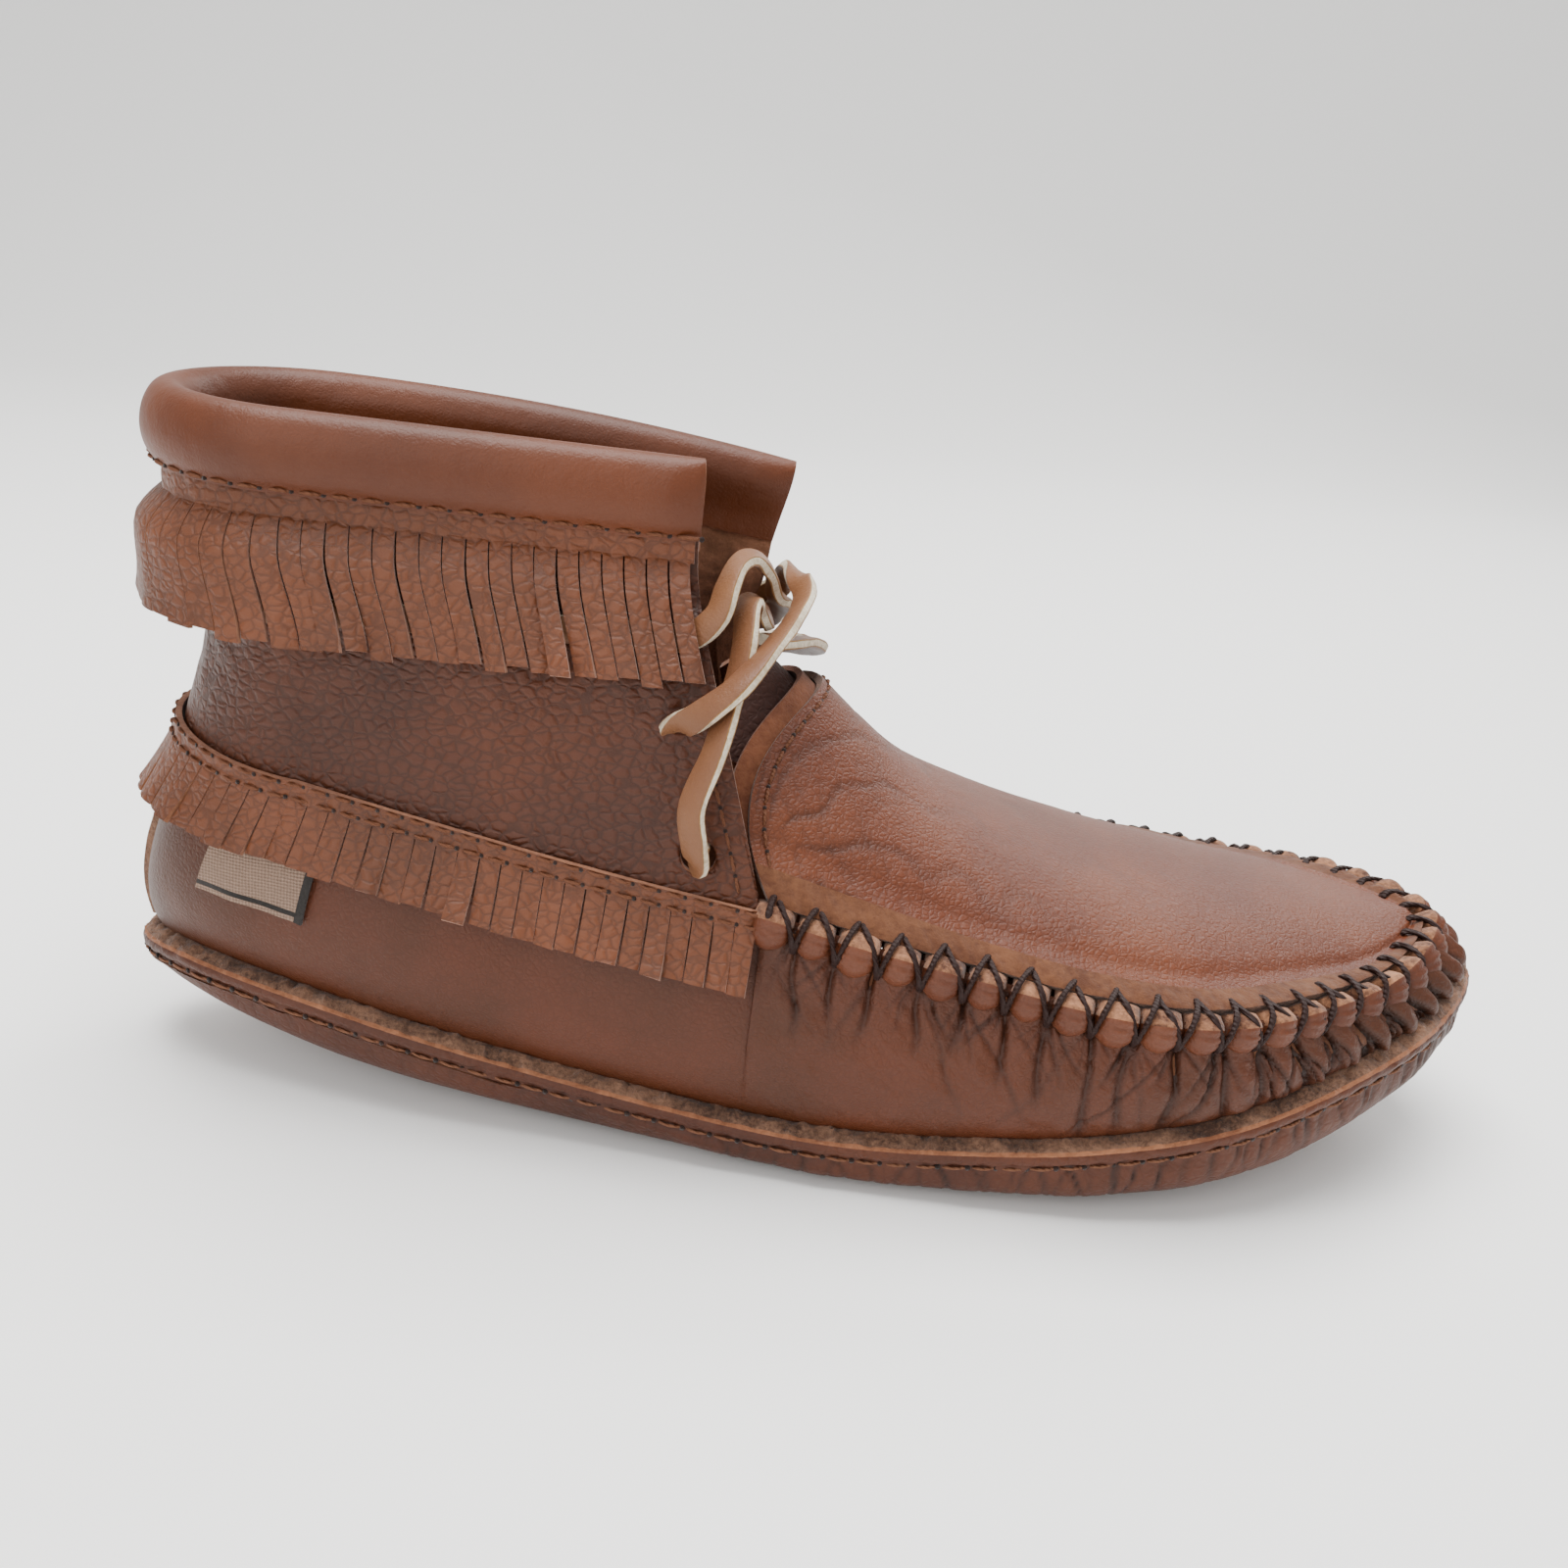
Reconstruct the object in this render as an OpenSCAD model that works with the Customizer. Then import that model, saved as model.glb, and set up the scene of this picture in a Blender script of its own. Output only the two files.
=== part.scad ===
// Fringed ankle moccasin, right foot: puckered side wall, apron, ankle cuff with two
// rows of fringe, rolled collar, threaded lace and a soft turned-up sole.
// X runs to the toe, +Y to the inner side of the foot, +Z up. The sole rests on z = 0.

/* [Size] */
// Length of the sole seam, heel to toe
shoe_length = 285; // [270:1:295]
// Thickness of the upper leather
leather_t = 1.6; // [1.3:0.1:1.7]
// Thickness of the sole leather
sole_t = 2.2; // [1.6:0.1:2.4]

/* [Collar] */
// Height of the padded collar roll above its stitch line
collar_h = 14; // [12:0.5:15]
// Uncut height of the collar fringe below the stitch line
collar_header = 6.5; // [5:0.5:7]
// Length of the cuts in the collar fringe
collar_cut = 18.5; // [14:0.5:19]
// Pitch of the collar fringe strips
collar_pitch = 4.7; // [4.2:0.1:6]

/* [Lower fringe] */
// Length of the cuts in the lower fringe
lower_cut = 13; // [8:0.5:13]
// Pitch of the lower fringe strips
lower_pitch = 4; // [3.6:0.1:6]

/* [Lace] */
// Width of the lace
lace_w = 5; // [4:0.25:5]
// Thickness of the lace
lace_t = 2.2; // [1.6:0.1:2.2]
// Diameter of the four lace holes
hole_d = 6.6; // [6.2:0.1:7]

/* [Hidden] */

size_k = shoe_length / 285;
origin_shift = [-141.6, -2, 0];
half_t = leather_t / 2;

// Stations on the sole seam: heel back first, then the outer side, toe and inner side.
sole_line = size_k * [
    [0.5, 3, 22], [14.5, -16.5, 24.8], [55, -30, 20], [92, -35.5, 14.3], [128, -41.5, 10.7],
    [150, -44.7, 10.3], [172, -47.2, 12.2], [196, -48.8, 15.6], [222, -46.5, 21], [248, -36, 28.3],
    [271, -18.5, 34.3], [284, 6, 37.5], [273, 34, 34.6], [246, 48, 27.7], [208, 53, 18],
    [166, 47, 11.5], [128, 40.5, 10.7], [92, 37, 14.3], [55, 34, 20], [14.5, 21.5, 24.8]
];
// Seam of the apron, from the outer throat corner round the toe to the inner one.
apron_line = size_k * [
    [129, -40.5, 57.6], [150, -41.3, 52.8], [172, -42.6, 48.8], [195, -46, 46], [217, -44.3, 44.6],
    [240, -32.6, 44.1], [260, -17, 45], [273.5, 8, 46], [262, 32, 45], [238, 42.5, 44.1],
    [205, 48.3, 45.4], [165, 44, 50.5], [129, 41.5, 57.6]
];
// Height of the ridge of the foot along the apron, throat to toe.
ridge_line = size_k * [
    [136.6, 3, 89.8], [146, 3, 81.8], [160, 4, 71], [178, 4, 63.6], [200, 5, 58.2], [225, 7, 53.4],
    [252, 9, 49.5], [272.5, 9, 47]
];
rear_u = 4;
loop_n = 20;
back_share = 0.35;
back_radius = 26 * size_k;

// Horseshoe levels of the cuff: back x, middle y, half width at the back and at the two
// fronts, front x of the outer and inner side, height at the back and at the two fronts.
wall_level = size_k * [13.5, 2, 26, 40.5, 39.5, 129, 127, 74, 57.6, 57.6];
waist_level = size_k * [15.5, 1.5, 26.5, 34, 32, 116.5, 121.5, 93, 95, 92];
upper_level = size_k * [10.5, 1, 25, 26.5, 25.5, 111.5, 124, 112, 112, 104];
stitch_level = size_k * [9.5, 1, 23.5, 25, 25, 110.5, 125.5, 124.5, 122.3, 115.5];
rim_level = size_k * [9.5, 1, 24.5, 25.5, 24, 110.5, 127.5, 137.9, 135.8, 124.5];

function unit(v) = v / norm(v);
function mix(a, b, f) = a + (b - a) * f;
function spline(a, b, c, d, f) =
    0.5 * (2 * b + (c - a) * f + (2 * a - 5 * b + 4 * c - d) * f * f
        + (3 * b - a - 3 * c + d) * f * f * f);
function on_loop(p, u) =
    let (n = len(p), w = (u % n + n) % n, i = floor(w), f = w - i)
    spline(p[(i + n - 1) % n], p[i], p[(i + 1) % n], p[(i + 2) % n], f);
function on_path(p, u) =
    let (n = len(p), i = max(0, min(floor(u), n - 2)), f = u - i,
         a = i > 0 ? p[i - 1] : 2 * p[0] - p[1],
         d = i < n - 2 ? p[i + 2] : 2 * p[n - 1] - p[n - 2])
    spline(a, p[i], p[i + 1], d, f);

// A horseshoe open to the front: t = -1 outer front edge, 0 heel, 1 inner front edge.
function horseshoe(level, t) =
    let (a = abs(t), side = t < 0 ? -1 : 1,
         front_x = t < 0 ? level[5] : level[6],
         half_front = t < 0 ? level[3] : level[4],
         z_front = t < 0 ? level[8] : level[9],
         turn = min(a / back_share, 1) * 90,
         run = max(a - back_share, 0) / (1 - back_share),
         x = level[0] + back_radius * (1 - cos(turn))
             + (front_x - level[0] - back_radius) * run,
         half = level[2] * sin(turn) + (half_front - level[2]) * run * (1.5 - 0.5 * run),
         f = (x - level[0]) / (front_x - level[0]),
         z = mix(level[7], z_front, t < 0 ? f : pow(f, 2.2)))
    [x, level[1] + side * half, z];

// Side wall: v = 0 at the sole seam, 1 at the top edge.
function signed_u(u) = let (w = (u % loop_n + loop_n) % loop_n) w > loop_n / 2 ? w - loop_n : w;
function outward(u) =
    let (d = on_loop(sole_line, u + 0.05) - on_loop(sole_line, u - 0.05)) unit([d.y, -d.x, 0]);
function wall_top(u) =
    let (s = signed_u(u))
    abs(s) <= rear_u ? horseshoe(wall_level, -s / rear_u)
        : on_path(apron_line, (s < 0 ? s + loop_n : s) - rear_u) - [0, 0, 0.6];
function wall_foot(u) = on_loop(sole_line, u) - 3.4 * outward(u) + [0, 0, 2.7];
function wall_bulge(u) = let (s = abs(signed_u(u))) s < 6 ? 4.5 : 4.5 - (s - 6) * 0.55;
function wall_point(u, v) =
    mix(wall_foot(u), wall_top(u), v) + outward(u) * wall_bulge(u) * 6.75 * v * pow(1 - v, 2);
function wall_normal(u, v) =
    unit(cross(wall_point(u + 0.04, v) - wall_point(u - 0.04, v),
        wall_point(u, v + 0.02) - wall_point(u, v - 0.02)));
function off_wall(u, v, d) = wall_point(u, v) + wall_normal(u, v) * d;

// Ankle cuff: q = 0 hem, 1 top of the wall, 2 waist, 3 below the fringe, 4 collar stitch line.
hem_v = 0.86;
cuff_off = leather_t + 0.4;
function cuff_levels(t) = [
    off_wall(-rear_u * t, hem_v, cuff_off), off_wall(-rear_u * t, 1, cuff_off),
    horseshoe(waist_level, t), horseshoe(upper_level, t), horseshoe(stitch_level, t),
    horseshoe(rim_level, t)
];
function cuff_point(t, q) = on_path(cuff_levels(t), q);
function cuff_normal(t, q) =
    let (a = max(-1, t - 0.01), b = min(1, t + 0.01))
    unit(cross(cuff_point(a, q) - cuff_point(b, q), cuff_point(t, q + 0.04) - cuff_point(t, q - 0.04)));
function off_cuff(t, q, d) = cuff_point(t, q) + cuff_normal(t, q) * d;

// Apron: s = 0 throat, 1 toe; w = -1 outer edge, 1 inner edge.
apron_toe = 7;
function apron_edge(s, w) =
    let (u = w < 0 ? s * apron_toe : 12 - s * (12 - apron_toe),
         p = on_path(apron_line, u), c = on_path(ridge_line, s * (len(ridge_line) - 1)))
    p + 1.4 * unit([c.x - p.x + 0.01, c.y - p.y, 0]);
function apron_point(s, w) =
    let (k = min(s, 0.995), a = apron_edge(k, -1), b = apron_edge(k, 1), m = (a + b) / 2,
         c = on_path(ridge_line, k * (len(ridge_line) - 1)),
         arch = (1 - w * w) * (1 + 0.35 * w * w), bow = w * w * (1 - w * w) * (1 - k) * 4,
         flat = mix(a, b, (w + 1) / 2))
    [mix(flat.x, c.x, arch) - 9 * bow * max(0, 1 - 2 * k), flat.y, flat.z + (c.z - m.z) * arch];
function apron_normal(s, w) =
    let (a = max(0, s - 0.01), b = min(0.99, s + 0.01), c = max(-1, w - 0.02), d = min(1, w + 0.02))
    unit(cross(apron_point(b, w) - apron_point(a, w), apron_point(s, d) - apron_point(s, c)));
function off_apron(s, w, d) = apron_point(s, w) + apron_normal(s, w) * d;

// Sole: k = 1 at the seam, 0 on the middle line.
function keel_height(x) =
    let (r = x / size_k) size_k * (r < 100 ? 16.5 * pow((100 - r) / 100, 1.7)
        : r > 190 ? 27 * pow((r - 190) / 95, 2.1) : 0);
function edge_drop(x) = size_k * (4.6 + 5.4 * max(0, min(1, (x / size_k - 70) / 130)));
function spine(u) =
    let (x = on_loop(sole_line, u).x / size_k)
    size_k * [max(46, min(236, x)), 2 + 3 * max(0, min(1, (x - 140) / 96)), 0];
function sole_point(u, k) =
    let (rim = on_loop(sole_line, u), edge = rim - [0, 0, edge_drop(rim.x) + 0.6], c = spine(u),
         x = mix(c.x, edge.x, k), y = mix(c.y, edge.y, k), z = keel_height(x),
         rise = pow(max(0, (k - 0.45) / 0.55), 2.7))
    [x, y, sole_t / 2 + z + max(0, edge.z - z) * rise];

// Builds a sheet of even thickness on a grid of points, from offset d0 to offset d1.
function flat_list(a) = [for (r = a) for (p = r) p];
function grid_normal(g, i, j, loop) =
    let (n = len(g), m = len(g[0]),
         a = loop ? (i + n - 1) % n : max(0, i - 1), b = loop ? (i + 1) % n : min(n - 1, i + 1),
         c = max(0, j - 1), d = min(m - 1, j + 1))
    unit(cross(g[b][j] - g[a][j], g[i][d] - g[i][c]));
// Closes the first rows of a looped sheet against each other along the middle line.
function zip_faces(n, m, base, turn) =
    [for (i = [0:n / 2 - 1])
        let (a = base + i * m, b = base + (i + 1) * m, c = base + (n - i - 1) * m,
             d = base + ((n - i) % n) * m)
        for (f = i == 0 ? [[a, b, c]] : b == c ? [[a, b, d]] : quad(a, b, c, d))
            turn ? [f[0], f[2], f[1]] : f];
module sheet(g, d0, d1, loop = false, zip = false) {
    n = len(g);
    m = len(g[0]);
    last = loop ? n - 1 : n - 2;
    outer = [for (i = [0:n - 1]) for (j = [0:m - 1]) g[i][j] + d1 * grid_normal(g, i, j, loop)];
    inner = [for (i = [0:n - 1]) for (j = [0:m - 1]) g[i][j] + d0 * grid_normal(g, i, j, loop)];
    size = n * m;
    faces = concat(
        [for (i = [0:last]) for (j = [0:m - 2]) for (f = quad(
            i * m + j, i * m + j + 1, ((i + 1) % n) * m + j + 1, ((i + 1) % n) * m + j)) f],
        [for (i = [0:last]) for (j = [0:m - 2]) for (f = quad(size + i * m + j,
            size + ((i + 1) % n) * m + j, size + ((i + 1) % n) * m + j + 1, size + i * m + j + 1)) f],
        zip ? concat(zip_faces(n, m, 0, false), zip_faces(n, m, size, true))
            : [for (i = [0:last]) for (f = quad(i * m, ((i + 1) % n) * m,
                size + ((i + 1) % n) * m, size + i * m)) f],
        [for (i = [0:last]) for (f = quad(i * m + m - 1, size + i * m + m - 1,
            size + ((i + 1) % n) * m + m - 1, ((i + 1) % n) * m + m - 1)) f],
        loop ? [] : [for (j = [0:m - 2]) for (f = quad(j, size + j, size + j + 1, j + 1)) f],
        loop ? [] : [for (j = [0:m - 2]) let (e = (n - 1) * m) for (f = quad(
            e + j, e + j + 1, size + e + j + 1, size + e + j)) f]
    );
    polyhedron(points = concat(outer, inner), faces = faces);
}
function quad(a, b, c, d) = [[a, b, c], [a, c, d]];

// Sweeps a closed section through rings of points, with capped ends unless it is a loop.
module sweep(rings, loop = false) {
    n = len(rings);
    m = len(rings[0]);
    last = loop ? n - 1 : n - 2;
    faces = concat(
        [for (i = [0:last]) for (j = [0:m - 1]) for (f = quad(
            i * m + j, ((i + 1) % n) * m + j, ((i + 1) % n) * m + (j + 1) % m, i * m + (j + 1) % m)) f],
        loop ? [] : [[for (j = [0:m - 1]) j]],
        loop ? [] : [[for (j = [m - 1:-1:0]) (n - 1) * m + j]]
    );
    polyhedron(points = flat_list(rings), faces = faces);
}
function section(p, out, up, a, b, sides) =
    [for (j = [0:sides - 1]) let (g = -360 * j / sides) p + out * a * cos(g) + up * b * sin(g)];
module thread(path, size = 0.45) {
    n = len(path);
    sweep([for (i = [0:n - 1])
        let (d = unit(path[min(n - 1, i + 1)] - path[max(0, i - 1)]),
             side = unit(cross(d, abs(d.z) > 0.9 ? [1, 0, 0] : [0, 0, 1])))
        section(path[i], side, cross(side, d), size, size, 4)]);
}

module outsole() {
    steps = 84;
    color("#6b4636") translate(origin_shift) sheet([for (i = [0:steps - 1])
        let (u = loop_n * i / steps, p = on_loop(sole_line, u), o = outward(u))
        concat([for (k = [0.02, 0.25, 0.45, 0.62, 0.78, 0.9]) sole_point(u, k)],
            [p - 1.2 * o - [0, 0, edge_drop(p.x) * 0.8], p - 1.1 * o - [0, 0, 3.6],
             p - 1.1 * o - [0, 0, 1.7]])],
        -sole_t / 2, sole_t / 2, true, true);
}
module dish(k_max, low, high, steps) {
    g = [for (i = [0:steps - 1]) let (u = loop_n * i / steps)
        [for (k = [0.02, 0.4, 0.62, 0.78, k_max]) sole_point(u, k)]];
    translate([0, 0, low]) sheet_up(g, high - low);
}
module sheet_up(g, rise) {
    n = len(g);
    m = len(g[0]);
    size = n * m;
    top = [for (r = g) for (p = r) p + [0, 0, rise]];
    faces = concat(
        [for (i = [0:n - 1]) for (j = [0:m - 2]) for (f = quad(
            i * m + j, i * m + j + 1, ((i + 1) % n) * m + j + 1, ((i + 1) % n) * m + j)) f],
        [for (i = [0:n - 1]) for (j = [0:m - 2]) for (f = quad(size + i * m + j,
            size + ((i + 1) % n) * m + j, size + ((i + 1) % n) * m + j + 1, size + i * m + j + 1)) f],
        [for (i = [0:n - 1]) for (f = quad(i * m + m - 1, size + i * m + m - 1,
            size + ((i + 1) % n) * m + m - 1, ((i + 1) % n) * m + m - 1)) f],
        zip_faces(n, m, 0, false), zip_faces(n, m, size, true)
    );
    polyhedron(points = concat(flat_list(g), top), faces = faces);
}
module sole_pad() {
    color("#d8c9a8") translate(origin_shift) dish(0.84, 2.1, 5.5, 56);
}
module insole() {
    color("#a07a5e") translate(origin_shift) dish(0.84, 5.8, 7.4, 56);
}
module seam_flange() {
    steps = 84;
    color("#6f5648") translate(origin_shift) sheet([for (i = [0:steps - 1])
        let (u = loop_n * i / steps, p = on_loop(sole_line, u), o = outward(u))
        [p + [0, 0, 0.1], p - 3.6 * o + [0, 0, 1.2]]], -0.7, 0.7, true);
}
module sole_thread() {
    steps = 84;
    color("#8a6a52") translate(origin_shift) sweep([for (i = [0:steps - 1])
        let (u = loop_n * i / steps, o = outward(u))
        section(on_loop(sole_line, u) + 0.75 * o - [0, 0, 3], o, [0, 0, 1], 0.45, 0.45, 4)], true);
}
module side_wall() {
    steps = 100;
    color("#7d5442") translate(origin_shift) sheet([for (i = [0:steps - 1])
        [for (v = [0, 0.12, 0.35, 0.6, 0.8, 1]) wall_point(loop_n * i / steps, v)]],
        -half_t, half_t, true);
}
module heel_seam() {
    color("#6f5648") translate(origin_shift) sweep([for (v = [0.02:0.12:0.5])
        let (p = wall_point(0, v) + [-half_t - 1.5, 0, 0])
        [p + [1.2, 1.5, 0], p + [-1.2, 1.2, 0], p + [-1.2, -1.2, 0], p + [1.2, -1.5, 0]]]);
}

module apron() {
    color("#9a6e58") translate(origin_shift) sheet([for (i = [0:22]) let (s = 0.985 * i / 22)
        [for (w = [-1:0.2:1]) apron_point(s, w)]], -half_t, half_t);
}
function seam_frame(u) =
    let (p = on_path(apron_line, u), d = on_path(apron_line, u + 0.05) - on_path(apron_line, u - 0.05))
    [p, unit([d.y, -d.x, 0])];
module pucker_edge() {
    steps = 66;
    color("#8d6450") translate(origin_shift) sweep([for (i = [1:steps - 1])
        let (u = rear_u + 12 * i / steps, v = 1 - 2.7 / norm(wall_top(u) - wall_foot(u)),
             n = wall_normal(u, v), up = unit(wall_point(u, v + 0.02) - wall_point(u, v - 0.02)))
        section(wall_point(u, v) + (half_t + 2.3) * n, n, up, 2, 3, 8)]);
}
module pucker_thread() {
    steps = 68;
    color("#3a2620") translate(origin_shift) thread([for (i = [1:steps - 1])
        let (f = seam_frame(12 * i / steps))
        f[0] + (i % 2 == 0 ? 3.2 * f[1] + [0, 0, 3.3] : -2.4 * f[1] + [0, 0, 3.6])]);
}
module throat_binding() {
    color("#a57c62") translate(origin_shift) sheet([for (w = [-0.9:0.15:0.91])
        let (n = apron_normal(0, w), away = unit(apron_point(0, w) - apron_point(0.03, w)))
        [off_apron(0.03, w, -2), off_apron(0, w, -2), off_apron(0, w, -1.9) + 3.6 * away]],
        -0.6, 0.6);
}
module throat_thread() {
    color("#4a3026") translate(origin_shift)
        thread([for (w = [-0.9:0.1:0.91]) off_apron(0.02, w, half_t + 0.7)]);
}
module tongue() {
    color("#4a2e25") translate(origin_shift) sheet([for (i = [0:10]) let (f = i / 5 - 1)
        [for (r = [[0.12, 0.35, 0], [0.06, 0.5, 0], [0, 0.62, 0], [0, 0.62, 7], [0, 0.5, 12]])
            let (w = f * r[1], away = unit(apron_point(0, w) - apron_point(0.04, w)))
            off_apron(r[0], w, -4) + r[2] * away]], -0.7, 0.7);
}

module ankle_cuff() {
    color("#7a5140") translate(origin_shift) difference() {
        sheet([for (i = [0:48]) [for (q = [0, 0.5, 1, 1.4, 1.8, 2.3, 2.8, 3.4, 4, 4.2])
            cuff_point(1 - 2 * i / 48, q)]], -half_t, half_t);
        for (h = lace_holes) translate(h - [0, 4, 0] * sign(h.y)) rotate([-90 * sign(h.y), 0, 0])
            cylinder(d = hole_d, h = 8, $fn = 24);
    }
}
lace_holes = size_k * [[108.6, -33.6, 89.3], [115.4, -40.6, 66], [109, 33.5, 89.3], [115.4, 41, 66]];

// Collar roll: sections stand on the stitch line, from the outer hem over the rim to the inside.
function roll_frame(t) =
    let (c = cuff_point(t, 4), up = unit(cuff_point(t, 5) - c))
    [c, cuff_normal(t, 4), up];
function roll_at(t, out, rise) = let (f = roll_frame(t)) f[0] + out * f[1] + rise * f[2];
module collar_band() {
    k = collar_h / 14;
    color("#84594a") translate(origin_shift) sheet([for (i = [0:44]) let (t = 1 - 2 * i / 44)
        [for (p = [[-1.9, -3], [-2.3, 4], [-2.9, 8.5], [-2.2, 11.8], [0.3, 13.2], [2.9, 11.8], [3.6, 8.5],
            [3.4, 4], [3.2, 0.5]]) roll_at(t, p[0], p[1] * k)]], -0.7, 0.7);
}
module collar_core() {
    k = collar_h / 14;
    color("#d8c9a8") translate(origin_shift) sweep([for (i = [0:44]) let (t = 0.99 - 1.98 * i / 44)
        [for (p = [[1.9, 5], [-1, 5], [-1.7, 8.5], [-1.1, 10.6], [0.3, 11.6], [1.9, 10.6], [2.1, 8.5]])
            roll_at(t, p[0], p[1] * k)]]);
}
module collar_thread() {
    color("#3f2a22") translate(origin_shift)
        thread([for (i = [0:44]) roll_at(0.99 - 1.98 * i / 44, 4.6, 1.2)]);
}

// Facings back the front edges of the cuff.
module facing(side) {
    translate(origin_shift) sheet([for (f = side > 0 ? [0.995, 0.97, 0.945] : [0.945, 0.97, 0.995])
        [for (q = [1.1:0.31:3.3]) off_cuff(side * f, q, -half_t - 1.05)]], -0.6, 0.6);
}
module lateral_facing() {
    color("#8e6753") facing(-1);
}
module medial_facing() {
    color("#8e6753") facing(1);
}
module facing_thread() {
    color("#4a3026") translate(origin_shift) {
        for (side = [-1, 1])
            thread([for (q = [1.12:0.15:1.73]) off_cuff(side * 0.965, q, half_t + 0.7)]);
    }
}

// Fringes: a header that stays put, and groups of strips that swing from its lower edge.
fringe_cuts = [-0.99, -0.675, -0.35, -0.175, 0, 0.175, 0.35, 0.675, 0.99];
header_off = half_t + 0.9;
collar_mm = 13.3;
function collar_drop(t, mm, d) = off_cuff(t, 4 - mm / collar_mm, d);
module collar_fringe_header() {
    color("#80573f") translate(origin_shift) sheet([for (i = [0:48]) let (t = 1 - 2 * i / 48)
        [for (mm = [collar_header, 2, -2.6]) collar_drop(t, mm, header_off)]], -0.55, 0.55);
}
// A strip leaves the header at f = 0 and ends at f = 1. It clears the lace that runs under
// it, and stands further out at the heel.
lace_room = 2.9;
function collar_hang(t, f) =
    let (n = cuff_normal(t, 3.4), out = unit([n.x, n.y, 0]), mm = collar_header + 0.5 + f * collar_cut,
         low = cuff_point(t, 4 - mm / collar_mm), heel = max(0, 1 - abs(t) / 0.5))
    low + n * (header_off + 0.25) + out * (lace_room * min(1, f / 0.38) + 0.45 * heel * f * collar_cut)
        + [0, 0, 0.2 * heel * f * collar_cut];
// Number of strips between two places on a fringe of a given whole length.
function row_count(a, b, pitch, total) = max(1, round(abs(b - a) / 2 * total / pitch));
module collar_strips(n) {
    a = fringe_cuts[n - 1];
    b = fringe_cuts[n];
    count = row_count(a, b, collar_pitch, 262 * size_k);
    gap = 0.15 * (b - a) / count;
    translate(origin_shift) for (i = [0:count - 1]) {
        t0 = mix(a, b, i / count) + gap / 2;
        t1 = mix(a, b, (i + 1) / count) - gap / 2;
        sheet([for (t = [t1, t0]) [for (f = [1, 0.38, 0])
            collar_hang(t, f)]], -0.55, 0.55);
    }
}
function lower_point(u, mm, d) = off_wall(u, 1 - mm / 48, cuff_off + half_t + d);
module lower_fringe_header() {
    color("#80573f") translate(origin_shift) sheet([for (i = [0:48]) let (u = rear_u * (2 * i / 48 - 1))
        [for (mm = [5, 2.5, 0.2]) lower_point(u, mm, 1.3)]], -0.55, 0.55);
}
module lower_strips(n) {
    a = rear_u * fringe_cuts[n - 1];
    b = rear_u * fringe_cuts[n];
    count = row_count(a / rear_u, b / rear_u, lower_pitch, 280 * size_k);
    gap = 0.15 * (b - a) / count;
    translate(origin_shift) for (i = [0:count - 1]) {
        u0 = mix(a, b, i / count) + gap / 2;
        u1 = mix(a, b, (i + 1) / count) - gap / 2;
        sheet([for (u = [u1, u0]) [for (f = [1, 0.5, 0])
            lower_point(-u, 5.5 + f * lower_cut, 1.5 + 1.6 * f)]], -0.55, 0.55);
    }
}
module lower_thread() {
    color("#4a3026") translate(origin_shift) {
        for (mm = [0.7, 4.4])
            thread([for (i = [0:48]) lower_point(rear_u * 0.99 * (2 * i / 48 - 1), mm, 2.5)]);
    }
}
module label_tab() {
    color("#c2a78c") translate(origin_shift) sheet([for (u = [0.72, 1, 1.28, 1.55])
        [for (v = [0.38, 0.6, 0.82]) off_wall(u, v, half_t + 0.7)]], -0.25, 0.25);
}

// Lace: round the ankle under the collar fringe, crossed over the throat and through the
// four holes; the two free ends are tucked behind the crossing.
lace_outer = size_k * [
    [110.3, -30.7, 105.2], [114.9, -31, 109.5], [116.5, -28, 114.5], [118, -24, 117.5], [120.5, -18.5, 118],
    [124, -12, 114.5], [126, -4, 108.5], [127.5, 5, 104.5], [128, 14, 102], [127.5, 24, 98.5],
    [126.3, 31.9, 94.6], [118.9, 36.9, 91.2], [111.5, 36.8, 90], [108.8, 33, 89], [109.3, 29.5, 85],
    [111.5, 31, 78], [114, 34, 71], [115.3, 38, 66.5], [116, 43.5, 67], [117, 46, 72],
    [119, 45.5, 79], [124, 42, 85], [129.5, 35, 88], [134, 25, 90.5], [136, 13, 94],
    [133.5, 0, 98], [129.5, -10, 100.5], [125, -17, 102]
];
lace_inner = size_k * [
    [123.1, 31.7, 99.2], [128, 28.4, 102.3], [128.5, 22, 106],
    [129.5, 13, 109], [130.5, 3, 109.8], [131.5, -8, 109.3], [129, -21, 107.2], [124.5, -33, 104],
    [119.5, -39.5, 99], [113, -39.5, 93], [109, -35, 89.5], [108.7, -29.5, 86.5], [110.5, -29.5, 80],
    [113, -31.5, 73], [115.2, -35.5, 67.2], [115.5, -42.5, 66], [114.5, -45.5, 71], [113.5, -45, 78],
    [116.5, -42.5, 87], [119, -36, 96.5], [120.5, -30.5, 104.5], [120.5, -24, 110.5], [122.5, -17, 108.5],
    [124.5, -11.5, 105]
];
function reverse(p) = [for (i = [len(p) - 1:-1:0]) p[i]];
lace_back = [for (i = [0:24]) off_cuff(0.92 - 1.83 * i / 24, 2.45, half_t + 0.7 + lace_t / 2)];
lace_route = concat(reverse(lace_inner), lace_back, lace_outer);
module lace() {
    n = len(lace_route);
    color("#b98863") translate(origin_shift) sweep([for (i = [0:n - 1])
        let (p = lace_route[i],
             d = unit(lace_route[min(n - 1, i + 1)] - lace_route[max(0, i - 1)]),
             core = [min(max(p.x, 38), 95), 1, p.z - max(0, p.x - 95) * 0.8],
             out = unit((p - core) - d * ((p - core) * d)))
        section(p, out, cross(out, d), lace_t / 2, lace_w / 2, 8)]);
}

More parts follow.
